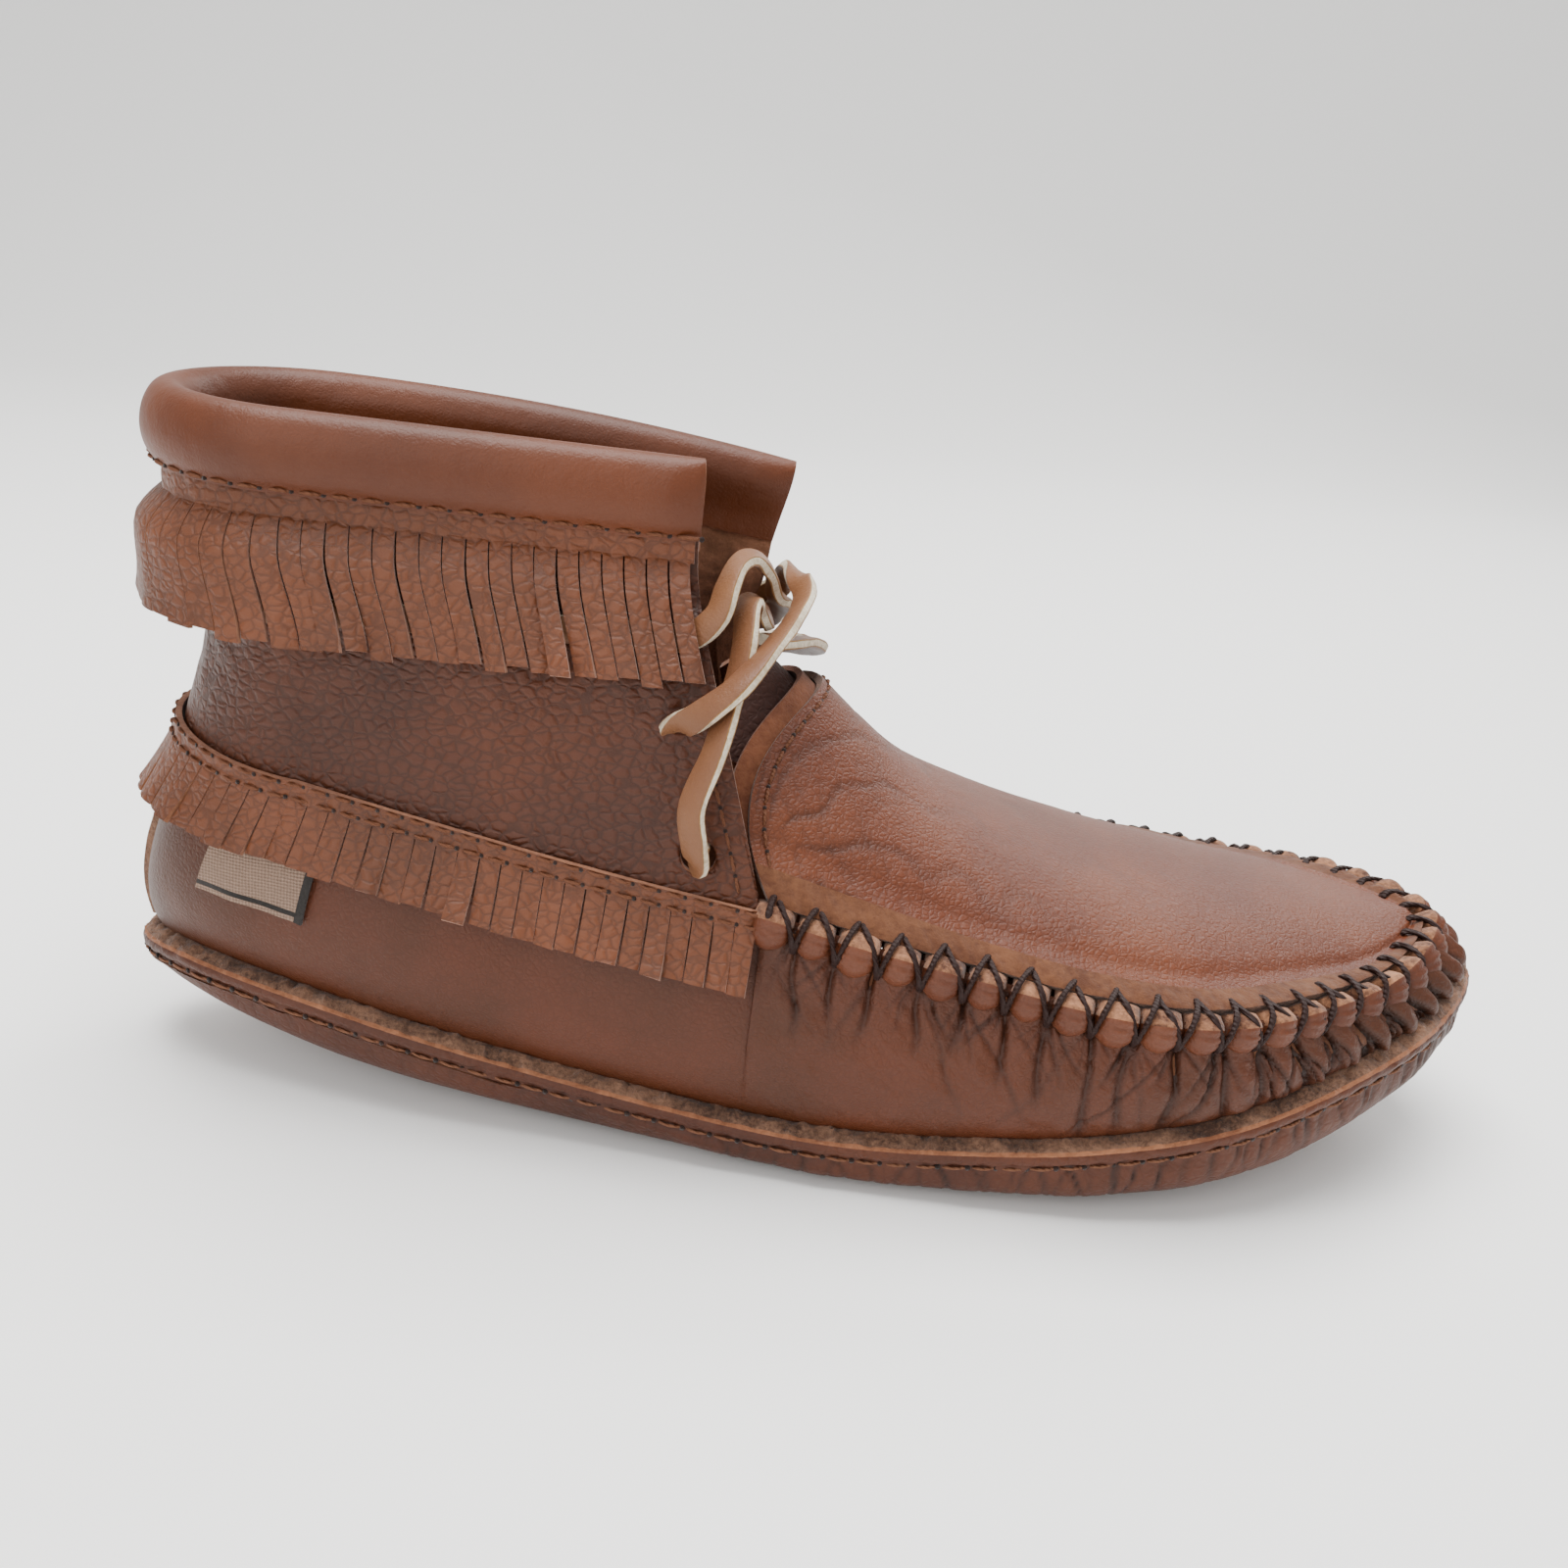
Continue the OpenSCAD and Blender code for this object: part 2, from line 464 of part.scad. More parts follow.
// The strip groups, from the outer front edge round the heel to the inner front edge.
module collar_fringe_1() {
    color("#865b43") collar_strips(1);
}
module collar_fringe_2() {
    color("#865b43") collar_strips(2);
}
module collar_fringe_3() {
    color("#865b43") collar_strips(3);
}
module collar_fringe_4() {
    color("#865b43") collar_strips(4);
}
module collar_fringe_5() {
    color("#865b43") collar_strips(5);
}
module collar_fringe_6() {
    color("#865b43") collar_strips(6);
}
module collar_fringe_7() {
    color("#865b43") collar_strips(7);
}
module collar_fringe_8() {
    color("#865b43") collar_strips(8);
}
module lower_fringe_1() {
    color("#865b43") lower_strips(1);
}
module lower_fringe_2() {
    color("#865b43") lower_strips(2);
}
module lower_fringe_3() {
    color("#865b43") lower_strips(3);
}
module lower_fringe_4() {
    color("#865b43") lower_strips(4);
}
module lower_fringe_5() {
    color("#865b43") lower_strips(5);
}
module lower_fringe_6() {
    color("#865b43") lower_strips(6);
}
module lower_fringe_7() {
    color("#865b43") lower_strips(7);
}
module lower_fringe_8() {
    color("#865b43") lower_strips(8);
}

outsole();
sole_pad();
insole();
seam_flange();
sole_thread();
side_wall();
heel_seam();
apron();
pucker_edge();
pucker_thread();
throat_binding();
throat_thread();
tongue();
ankle_cuff();
collar_core();
collar_band();
collar_thread();
lateral_facing();
medial_facing();
facing_thread();
lace();
label_tab();
collar_fringe_header();
lower_fringe_header();
lower_thread();
collar_fringe_1();
collar_fringe_2();
collar_fringe_3();
collar_fringe_4();
collar_fringe_5();
collar_fringe_6();
collar_fringe_7();
collar_fringe_8();
lower_fringe_1();
lower_fringe_2();
lower_fringe_3();
lower_fringe_4();
lower_fringe_5();
lower_fringe_6();
lower_fringe_7();
lower_fringe_8();
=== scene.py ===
import math

import bpy
import numpy as np
from mathutils import Matrix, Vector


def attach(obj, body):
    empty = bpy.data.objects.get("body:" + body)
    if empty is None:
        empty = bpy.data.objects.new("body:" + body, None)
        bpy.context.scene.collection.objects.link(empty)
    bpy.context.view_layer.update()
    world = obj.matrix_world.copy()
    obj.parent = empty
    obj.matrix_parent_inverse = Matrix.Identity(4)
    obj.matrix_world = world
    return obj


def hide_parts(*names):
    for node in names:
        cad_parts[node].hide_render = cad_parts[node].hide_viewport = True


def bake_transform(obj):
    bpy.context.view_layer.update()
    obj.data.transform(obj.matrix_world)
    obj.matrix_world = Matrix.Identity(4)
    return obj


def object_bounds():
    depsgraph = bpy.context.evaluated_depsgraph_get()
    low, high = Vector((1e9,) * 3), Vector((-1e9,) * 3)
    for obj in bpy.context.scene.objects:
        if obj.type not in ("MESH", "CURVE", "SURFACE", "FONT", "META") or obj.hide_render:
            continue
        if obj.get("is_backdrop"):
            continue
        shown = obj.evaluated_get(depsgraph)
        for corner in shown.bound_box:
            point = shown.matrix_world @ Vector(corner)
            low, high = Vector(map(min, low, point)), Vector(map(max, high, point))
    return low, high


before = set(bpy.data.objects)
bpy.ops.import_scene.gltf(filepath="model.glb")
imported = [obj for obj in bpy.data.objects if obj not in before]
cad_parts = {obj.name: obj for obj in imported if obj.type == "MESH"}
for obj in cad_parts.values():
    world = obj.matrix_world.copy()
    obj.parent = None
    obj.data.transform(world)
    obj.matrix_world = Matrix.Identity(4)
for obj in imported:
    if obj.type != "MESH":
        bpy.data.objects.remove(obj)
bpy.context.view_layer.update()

# Studio: a pale sweep of card under a large softbox overhead, with a weak fill from the
# near side. The camera looks a little down on the outer side of the shoe.
camera_right = (0.9951, -0.0136, 0.0981)
camera_up = (-0.0873, 0.3481, 0.9334)
camera_back = (-0.0468, -0.9374, 0.3452)
camera_place = (-0.02599, -0.32425, 0.18606)
card_colour = "#f4f3f1"


def linear(colour):
    """sRGB hex to the linear colour the shaders take."""
    parts = [int(colour[i:i + 2], 16) / 255 for i in (1, 3, 5)]
    return tuple(p / 12.92 if p <= 0.04045 else ((p + 0.055) / 1.055) ** 2.4 for p in parts) + (1,)


def new_finish(name):
    """A new material, its node tree and its shader."""
    made = bpy.data.materials.new(name)
    made.use_nodes = True
    return made, made.node_tree, made.node_tree.nodes["Principled BSDF"]


def add_node(tree, kind, inputs=(), **settings):
    """One node: settings are its own options, inputs are values or sockets to link from."""
    made = tree.nodes.new(kind)
    for key, value in settings.items():
        setattr(made, key, value)
    for key, value in dict(inputs).items():
        if isinstance(value, bpy.types.NodeSocket):
            tree.links.new(value, made.inputs[key])
        else:
            made.inputs[key].default_value = value
    return made


camera = bpy.data.objects.new("camera", bpy.data.cameras.new("camera"))
camera.data.lens = 38.25
camera.data.sensor_width = 36
camera.data.clip_start = 0.01
turn = Matrix((camera_right, camera_up, camera_back)).transposed().to_quaternion()
camera.matrix_world = Matrix.LocRotScale(camera_place, turn, None)
bpy.context.scene.collection.objects.link(camera)
bpy.context.scene.camera = camera

world = bpy.data.worlds.new("studio")
world.use_nodes = True
world.node_tree.nodes["Background"].inputs["Color"].default_value = linear("#ffffff")
world.node_tree.nodes["Background"].inputs["Strength"].default_value = 1.0
bpy.context.scene.world = world
for name, place, aim, size, power in (
    ("softbox", (-0.1, 0.05, 1.0), (0, 0, 0.05), 0.8, 22),
    ("fill", (-0.5, -0.9, 0.55), (0, 0, 0.06), 0.7, 5),
    ("rim", (0.5, 0.8, 0.7), (0, 0, 0.06), 0.5, 5),
):
    lamp = bpy.data.objects.new(name, bpy.data.lights.new(name, "AREA"))
    lamp.data.size = size
    lamp.data.energy = power
    back = np.array(place) - np.array(aim)
    lamp.matrix_world = Matrix.LocRotScale(
        place, Matrix(((1, 0, 0), (0, 1, 0), (0, 0, 1))).col[2].rotation_difference(back.tolist()), None)
    bpy.context.scene.collection.objects.link(lamp)

card, tree, shader = new_finish("matt_card")
shader.inputs["Base Color"].default_value = linear(card_colour)
shader.inputs["Roughness"].default_value = 0.9
floor_mesh = bpy.data.meshes.new("floor")
sweep_line = [(-3.0, 0.0)] + [(0.9 + 0.9 * math.sin(a), 0.9 - 0.9 * math.cos(a))
                             for a in np.linspace(0, math.pi / 2, 24)] + [(1.8, 5.0)]
floor_mesh.from_pydata([(x, y, z - 0.0002) for y, z in sweep_line for x in (-6, 6)], [],
                       [(2 * i, 2 * i + 1, 2 * i + 3, 2 * i + 2) for i in range(len(sweep_line) - 1)])
floor_mesh.polygons.foreach_set("use_smooth", [True] * len(floor_mesh.polygons))
floor_mesh.materials.append(card)
floor = bpy.data.objects.new("floor", floor_mesh)
bpy.context.scene.collection.objects.link(floor)
floor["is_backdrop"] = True


# Sole: one soft piece of thick chrome-tanned hide, turned up all round and gathered into the
# seam, so its edge is full of short upright tucks. Only its middle touches the ground.
heel_shift = np.array([-141.6, -2, 0])
sole_line = np.array([
    [0.5, 3, 22], [14.5, -16.5, 24.8], [55, -30, 20], [92, -35.5, 14.3], [128, -41.5, 10.7],
    [150, -44.7, 10.3], [172, -47.2, 12.2], [196, -48.8, 15.6], [222, -46.5, 21], [248, -36, 28.3],
    [271, -18.5, 34.3], [284, 6, 37.5], [273, 34, 34.6], [246, 48, 27.7], [208, 53, 18],
    [166, 47, 11.5], [128, 40.5, 10.7], [92, 37, 14.3], [55, 34, 20], [14.5, 21.5, 24.8]])
sole_t = 2.2
edge_rows = 44
round_steps = 620


def unit(v):
    return v / np.maximum(np.linalg.norm(v, axis=-1, keepdims=True), 1e-9)


def bend(a, b, c, d, f):
    return 0.5 * (2 * b + (c - a) * f + (2 * a - 5 * b + 4 * c - d) * f ** 2
                  + (3 * b - a - 3 * c + d) * f ** 3)


def on_loop(line, u):
    """Smooth closed line through its stations, at station number u."""
    n = len(line)
    w = np.mod(u, n)
    i = np.floor(w).astype(int)
    return bend(line[(i - 1) % n], line[i % n], line[(i + 1) % n], line[(i + 2) % n], (w - i)[..., None])


def on_path(line, u):
    """Smooth open line through its stations."""
    more = np.concatenate([[2 * line[0] - line[1]], line, [2 * line[-1] - line[-2]]])
    i = np.clip(np.floor(u).astype(int), 0, len(line) - 2)
    return bend(more[i], more[i + 1], more[i + 2], more[i + 3], (u - i)[..., None])


def loft(levels, rows):
    """Grid that runs smoothly through a list of lines, at the given row numbers."""
    more = [2 * levels[0] - levels[1], *levels, 2 * levels[-1] - levels[-2]]
    made = []
    for q in rows:
        i = min(max(int(q), 0), len(levels) - 2)
        made.append(bend(*more[i:i + 4], q - i))
    return np.stack(made, axis=1)


def outward(u):
    d = on_loop(sole_line, u + 0.05) - on_loop(sole_line, u - 0.05)
    return unit(np.stack([d[..., 1], -d[..., 0], 0 * d[..., 0]], axis=-1))


def keel_height(x):
    heel = 16.5 * np.clip((100 - x) / 100, 0, None) ** 1.7
    return heel + 27 * np.clip((x - 190) / 95, 0, None) ** 2.1


def edge_drop(x):
    return 4.6 + 5.4 * np.clip((x - 70) / 130, 0, 1)


def sole_point(u, k):
    edge = on_loop(sole_line, u)
    edge = edge - up_mm(edge_drop(edge[..., 0]) + 0.6)
    middle_x = np.clip(edge[..., 0], 46, 236)
    middle_y = 2 + 3 * np.clip((edge[..., 0] - 140) / 96, 0, 1)
    x = middle_x + (edge[..., 0] - middle_x) * k
    y = middle_y + (edge[..., 1] - middle_y) * k
    z = keel_height(x)
    rise = max(0, (k - 0.45) / 0.55) ** 2.7
    return np.stack([x, y, sole_t / 2 + z + np.clip(edge[..., 2] - z, 0, None) * rise], axis=-1)


def up_mm(z):
    z = np.asarray(z, float)
    return np.stack([0 * z, 0 * z, z], axis=-1)


def grid_normals(grid, loop=False):
    """Unit normals of a grid of points: along the columns crossed with along the rows."""
    if loop:
        along = np.roll(grid, -1, 0) - np.roll(grid, 1, 0)
    else:
        along = np.gradient(grid, axis=0)
    return unit(np.cross(along, np.gradient(grid, axis=1)))


def ripple(a, b, size, seed, count=14):
    """Smooth wandering relief between about -1 and 1, with folds about size apart."""
    rng = np.random.default_rng(seed)
    total = 0
    for _ in range(count):
        angle, phase = rng.uniform(0, 2 * math.pi, 2)
        rate = 2 * math.pi / (size * rng.uniform(0.7, 1.6))
        total = total + np.sin(rate * (a * math.cos(angle) + b * math.sin(angle)) + phase)
    return total / math.sqrt(count) / 1.2


def shell(outer, inner, loop=False, zipped=False):
    """Closed skin between two grids. Returns points, faces and each face's side:
    0 the outer face, 1 the inner face, 2 the cut edges."""
    n, m = outer.shape[:2]
    k = inner.shape[1]
    i = np.arange(n if loop else n - 1)[:, None]
    nxt = (i + 1) % n
    quads, side = [], []

    def face(a, b, c, d, which):
        made = np.stack(np.broadcast_arrays(a, b, c, d), axis=-1).reshape(-1, 4)
        quads.extend(made.tolist())
        side.extend([which] * len(made))

    j = np.arange(m - 1)
    face(i * m + j, nxt * m + j, nxt * m + j + 1, i * m + j + 1, 0)
    j = np.arange(k - 1)
    base = n * m
    face(base + i * k + j, base + i * k + j + 1, base + nxt * k + j + 1, base + nxt * k + j, 1)
    face(i * m + m - 1, nxt * m + m - 1, base + nxt * k + k - 1, base + i * k + k - 1, 2)
    if zipped:
        for p in range(n // 2):
            for start, width, flip, which in ((0, m, True, 0), (base, k, False, 1)):
                ring = [p, p + 1, n - p - 1, (n - p) % n]
                ring = [start + width * r for r in dict.fromkeys(ring)]
                quads.append(ring[::-1] if flip else ring)
                side.append(which)
    else:
        face(i * m, base + i * k, base + nxt * k, nxt * m, 2)
    if not loop:
        e, f = (n - 1) * m, base + (n - 1) * k
        face(j, j + 1, base + j + 1, base + j, 2)
        face(e + j, f + j, f + j + 1, e + j + 1, 2)
    return np.concatenate([outer.reshape(-1, 3), inner.reshape(-1, 3)]), quads, side


def build(name, points, faces, finishes, side=None, crisp=40, fold=None):
    """A mesh piece from points in shoe millimetres. finishes[i] goes on the faces of side i.
    fold, 0 to 1 for the first points, darkens creases as painted shade."""
    mesh = bpy.data.meshes.new(name)
    mesh.from_pydata(((np.asarray(points) + heel_shift) / 1000).tolist(), [], faces)
    for finish in finishes:
        mesh.materials.append(finish)
    if side is not None:
        last = len(finishes) - 1
        mesh.polygons.foreach_set("material_index", [min(s, last) for s in side])
    # The fold attribute carries the painted crease shade to the shader.
    if fold is not None:
        depths = np.zeros(len(mesh.vertices))
        depths[:fold.size] = np.clip(fold, 0, 1).ravel()
        mesh.attributes.new("fold", "FLOAT", "POINT").data.foreach_set("value", depths)
    mesh.polygons.foreach_set("use_smooth", [True] * len(mesh.polygons))
    mesh.set_sharp_from_angle(angle=math.radians(crisp))
    mesh.update()
    piece = bpy.data.objects.new(name, mesh)
    bpy.context.scene.collection.objects.link(piece)
    return piece


def fit(piece, slot, *nodes, body="upper"):
    """The piece moves with its body and stands for its CAD nodes, which it hides. slot is not used."""
    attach(piece, body)
    if nodes:
        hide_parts(*nodes)


def grain_leather(name, colour, shade, pebble_mm, depth_mm, rough=0.5, flat=1.0, furrow_shade_level=0.85, fold_mm=0.0):
    """Drum-dyed grain leather: flat-topped pebbles with painted shade darkening their furrows, broad paler
    and darker patches, painted shade darkening the creases where the attribute fold is 1, and a soft waxy
    shine."""
    made, tree, shader = new_finish(name)
    place = add_node(tree, "ShaderNodeTexCoord").outputs["Object"]
    waver = add_node(tree, "ShaderNodeTexNoise", {"Vector": place, "Scale": 420, "Detail": 2})
    warped = add_node(tree, "ShaderNodeVectorMath",
                      {0: waver.outputs["Color"], 1: (0.0013,) * 3, 2: place}, operation="MULTIPLY_ADD")
    drawn = add_node(tree, "ShaderNodeMapping", {"Vector": warped.outputs[0], "Scale": (1, 1, flat)})
    cells = add_node(tree, "ShaderNodeTexVoronoi", {"Vector": drawn.outputs[0], "Scale": 1000 / pebble_mm},
                     feature="DISTANCE_TO_EDGE")
    dome = add_node(tree, "ShaderNodeMapRange", {0: cells.outputs["Distance"], 1: 0, 2: 0.3, 3: 0, 4: 1},
                    interpolation_type="SMOOTHSTEP")
    pores = add_node(tree, "ShaderNodeTexNoise", {"Vector": place, "Scale": 2600, "Detail": 3})
    patches = add_node(tree, "ShaderNodeTexNoise", {"Vector": place, "Scale": 30, "Detail": 5})
    stretch = add_node(tree, "ShaderNodeMapRange", {0: patches.outputs[0], 1: 0.36, 2: 0.62})
    tone = add_node(tree, "ShaderNodeMix", {0: stretch.outputs[0], 6: linear(shade), 7: linear(colour)},
                    data_type="RGBA")
    # Painted shade: the colour is darkened in the furrows between the pebbles.
    furrow_shade = add_node(tree, "ShaderNodeMapRange",
                       {0: cells.outputs["Distance"], 1: 0, 2: 0.16, 3: furrow_shade_level, 4: 1},
                       interpolation_type="SMOOTHSTEP")
    # Painted shade: where the point attribute fold is 1 the colour drops to 0.22 of itself, darkening the
    # creases.
    folds = add_node(tree, "ShaderNodeAttribute", attribute_name="fold")
    crease_shade = add_node(tree, "ShaderNodeMapRange", {0: folds.outputs["Fac"], 1: 0, 2: 1, 3: 1, 4: 0.22})
    # The painted shade of the furrows and of the creases together multiply the base colour.
    both = add_node(tree, "ShaderNodeMath", {0: furrow_shade.outputs[0], 1: crease_shade.outputs[0]},
                    operation="MULTIPLY")
    dark = add_node(tree, "ShaderNodeVectorMath", {0: tone.outputs[2], 1: both.outputs[0]},
                    operation="MULTIPLY")
    tree.links.new(dark.outputs[0], shader.inputs["Base Color"])
    broad = add_node(tree, "ShaderNodeTexNoise",
                     {"Vector": drawn.outputs[0], "Scale": 1000 / max(fold_mm, 3), "Detail": 4})
    low = add_node(tree, "ShaderNodeBump", {"Height": broad.outputs[0], "Distance": 0.0004 + fold_mm * 1.2e-4,
                                            "Strength": 0.5})
    mid = add_node(tree, "ShaderNodeBump", {"Height": dome.outputs[0], "Distance": depth_mm * 1e-3,
                                            "Strength": 0.8, "Normal": low.outputs[0]})
    fine = add_node(tree, "ShaderNodeBump", {"Height": pores.outputs[0], "Distance": 0.0001,
                                             "Strength": 0.5, "Normal": mid.outputs[0]})
    tree.links.new(fine.outputs[0], shader.inputs["Normal"])
    shader.inputs["Roughness"].default_value = rough
    shader.inputs["Specular IOR Level"].default_value = 0.28
    return made


def raw_suede(name, light, dark, nap_mm=0.5, depth_mm=0.35):
    """Flesh side or cut edge of the hide: a short matt nap that catches light in specks."""
    made, tree, shader = new_finish(name)
    place = add_node(tree, "ShaderNodeTexCoord").outputs["Object"]
    nap = add_node(tree, "ShaderNodeTexNoise",
                   {"Vector": place, "Scale": 1000 / nap_mm / 2, "Detail": 4, "Roughness": 0.7})
    broad = add_node(tree, "ShaderNodeTexNoise", {"Vector": place, "Scale": 90, "Detail": 3})
    both = add_node(tree, "ShaderNodeMath", {0: nap.outputs[0], 1: broad.outputs[0]}, operation="ADD")
    specks = add_node(tree, "ShaderNodeMapRange", {0: both.outputs[0], 1: 0.78, 2: 1.22})
    tone = add_node(tree, "ShaderNodeMix", {0: specks.outputs[0], 6: linear(dark), 7: linear(light)},
                    data_type="RGBA")
    tree.links.new(tone.outputs[2], shader.inputs["Base Color"])
    bump = add_node(tree, "ShaderNodeBump", {"Height": nap.outputs[0], "Distance": depth_mm * 1e-3,
                                             "Strength": 1.0})
    tree.links.new(bump.outputs[0], shader.inputs["Normal"])
    shader.inputs["Roughness"].default_value = 0.95
    shader.inputs["Specular IOR Level"].default_value = 0.2
    shader.inputs["Sheen Weight"].default_value = 0.15
    return made


sole_finish = grain_leather("creased_sole_hide", "#4e2612", "#3d1c0d", 2.0, 0.1, 0.5, 1.0, 0.9)
flesh = raw_suede("napped_flesh_side", "#643f29", "#4a2a1a", 0.9)
cut_edge = raw_suede("pale_cut_edge", "#8d5e43", "#6d432d", 0.6, 0.2)

turn_u = np.arange(round_steps) * 20 / round_steps
seam = on_loop(sole_line, turn_u)
out = outward(turn_u)
seam_mm = np.concatenate([[0], np.cumsum(np.linalg.norm(np.diff(seam, axis=0), axis=1))])
seam_length = seam_mm[-1] + np.linalg.norm(seam[0] - seam[-1])
levels = [sole_point(turn_u, k) for k in (0.02, 0.25, 0.45, 0.62, 0.78, 0.9)]
levels += [seam - 1.2 * out - up_mm(edge_drop(seam[:, 0]) * 0.8),
           seam - 1.1 * out - up_mm(3.6), seam - 1.1 * out - up_mm(1.7)]
rows = np.concatenate([np.linspace(0, 4, 12)[:-1], np.linspace(4, 8, edge_rows - 11)])
grid = loft(levels, rows)
normal = grid_normals(grid, True)
rng = np.random.default_rng(5)
tucks = np.zeros(grid.shape[:2])
edge_fade = np.clip((rows - 4.6) / 1.6, 0, 1) * (1 - 0.5 * np.clip((rows - 7.2) / 0.8, 0, 1))
place = 0
while place < seam_length:
    toe_share = np.interp(place, [0, 150, 230, 400, 480, seam_length], [0.35, 0.5, 1, 1, 0.5, 0.35])
    lean = rng.uniform(-1.6, 1.6)
    line = place + lean * (rows - 6) + 0.5 * np.sin(rows * 2.1 + place)
    away = np.abs(seam_mm[:, None] - line[None, :])
    away = np.minimum(away, seam_length - away)
    tucks -= rng.uniform(0.25, 0.7) * toe_share * np.exp(-(away / rng.uniform(0.35, 0.7)) ** 2)
    place += rng.uniform(2.2, 6.5)
relief = tucks * edge_fade + 0.25 * ripple(seam_mm[:, None], rows * 6, 14, 3) * edge_fade
stitch_row = np.argmin(np.abs(rows - 7.35))
stitch_out = normal[:, stitch_row]
stitch_line = grid[:, stitch_row] + stitch_out * (sole_t / 2 + 0.1)
points, faces, side = shell(grid + normal * (sole_t / 2 + relief)[..., None],
                            grid[:, ::4] - normal[:, ::4] * sole_t / 2, True, True)
# fold paints shade into the tucks of the sole edge.
sole = build("outsole", points, faces, [sole_finish, flesh, cut_edge], side, fold=-tucks * edge_fade / 0.6)
fit(sole, "sole_leather", "outsole")


# Insole: a loose suede sock over a thin foam pad, seen only down the mouth of the shoe.
sock_u = np.arange(160) * 20 / 160
levels = [sole_point(sock_u, k) for k in (0.02, 0.4, 0.62, 0.78, 0.84)]
grid = loft(levels, np.linspace(0, 4, 16))
for name, low, high, slot_name, colours in (("insole", 5.8, 7.4, "lining_suede", ("#96705a", "#745240")),
                                            ("sole_pad", 2.1, 5.5, "pad_foam", ("#d8c9a8", "#c9b894"))):
    points, faces, side = shell(grid + up_mm(low), grid + up_mm(high), True, True)
    sock = build(name, points, faces, [raw_suede("sock_suede" if low > 3 else "pale_foam", *colours)])
    fit(sock, slot_name, name)


# Seam allowance: the raw edge of the upper, turned out over the sole edge and left as cut,
# a fuzzy grey-brown strip. Under it a pale cut line and a smooth band of the sole leather show.
seam_finish = raw_suede("fuzzy_raw_edge", "#7c5b47", "#3e2a20", 0.45, 0.5)
levels = [seam + 0.5 * out - up_mm(1.5), seam + 0.9 * out - up_mm(0.4),
          seam + 0.2 * out + up_mm(0.9), seam - 1.6 * out + up_mm(1.9),
          seam - 3.7 * out + up_mm(2.2)]
grid = loft(levels, np.linspace(0, 4, 17))
normal = grid_normals(grid, True)
across = np.arange(17)[None, :] * 0.35
fuzz = 0.24 * ripple(seam_mm[:, None], across, 1.1, 11) * np.clip(across - 1.5, 0.2, 1)
fuzz += 0.3 * ripple(seam_mm[:, None], across, 3.4, 12) * np.clip(across - 1.5, 0.3, 1.6)
scallop = 0.28 * np.abs(np.sin(math.pi * seam_mm[:, None] / 5.6)) * np.clip(1 - across / 1.6, 0, 1)
face_in = grid - normal * 1.3
points, faces, side = shell(grid + normal * (0.1 + fuzz + scallop)[..., None], face_in, True)
allowance = build("seam_flange", points, faces, [seam_finish, seam_finish, cut_edge, sole_finish], side)
lip = [(3 if f[0] % 17 < 6 else 2 if f[0] % 17 < 8 else 0) if s == 0 else s for f, s in zip(faces, side)]
allowance.data.polygons.foreach_set("material_index", lip)
fit(allowance, "raw_suede", "seam_flange")


# Sole stitching: tan waxed thread, one lock stitch about every 5.6 mm, each end pulled down
# into its awl hole. The same row tree lays every other stitch line on the shoe.
stitch_pitch = 5.6
thread_half = 0.34


def row_tree():
    """Copies one element along a line, its X along the line and its Z along out_dir."""
    tree = bpy.data.node_groups.new("element_row", "GeometryNodeTree")
    face = tree.interface
    face.new_socket("Line", in_out="INPUT", socket_type="NodeSocketGeometry")
    for label, kind in (("Element", "Object"), ("Pitch", "Float"), ("Size Spread", "Float"),
                        ("Seed", "Int"), ("Finish", "Material"), ("Second Finish", "Material")):
        face.new_socket(label, in_out="INPUT", socket_type="NodeSocket" + kind)
    face.new_socket("Row", in_out="OUTPUT", socket_type="NodeSocketGeometry")
    given = add_node(tree, "NodeGroupInput").outputs
    curve = add_node(tree, "GeometryNodeMeshToCurve", {0: given["Line"]})
    spaced = add_node(tree, "GeometryNodeResampleCurve",
                      {"Curve": curve.outputs[0], "Length": given["Pitch"]}, mode="LENGTH")
    tangent = add_node(tree, "GeometryNodeInputTangent")
    out_dir = add_node(tree, "GeometryNodeInputNamedAttribute", {"Name": "out_dir"}, data_type="FLOAT_VECTOR")
    along = add_node(tree, "FunctionNodeAlignRotationToVector", {"Vector": tangent.outputs[0]}, axis="X")
    level = add_node(tree, "FunctionNodeAlignRotationToVector",
                     {"Rotation": along.outputs[0], "Vector": out_dir.outputs["Attribute"]},
                     axis="Z", pivot_axis="X")
    low = add_node(tree, "ShaderNodeMath", {0: 1.0, 1: given["Size Spread"]}, operation="SUBTRACT")
    high = add_node(tree, "ShaderNodeMath", {0: 1.0, 1: given["Size Spread"]}, operation="ADD")
    size = add_node(tree, "FunctionNodeRandomValue",
                    {2: low.outputs[0], 3: high.outputs[0], "Seed": given["Seed"]}, data_type="FLOAT")
    element = add_node(tree, "GeometryNodeObjectInfo", {"Object": given["Element"]})
    laid = add_node(tree, "GeometryNodeInstanceOnPoints",
                    {"Points": spaced.outputs[0], "Instance": element.outputs["Geometry"],
                     "Rotation": level.outputs[0], "Scale": size.outputs[1]})
    solid = add_node(tree, "GeometryNodeRealizeInstances", {0: laid.outputs[0]})
    first = add_node(tree, "GeometryNodeSetMaterial",
                     {"Geometry": solid.outputs[0], "Material": given["Finish"]})
    marked = add_node(tree, "GeometryNodeInputNamedAttribute", {"Name": "second"}, data_type="BOOLEAN")
    second = add_node(tree, "GeometryNodeSetMaterial",
                      {"Geometry": first.outputs[0], "Selection": marked.outputs["Attribute"],
                       "Material": given["Second Finish"]})
    add_node(tree, "NodeGroupOutput", {0: second.outputs[0]})
    return tree


row_nodes = row_tree()


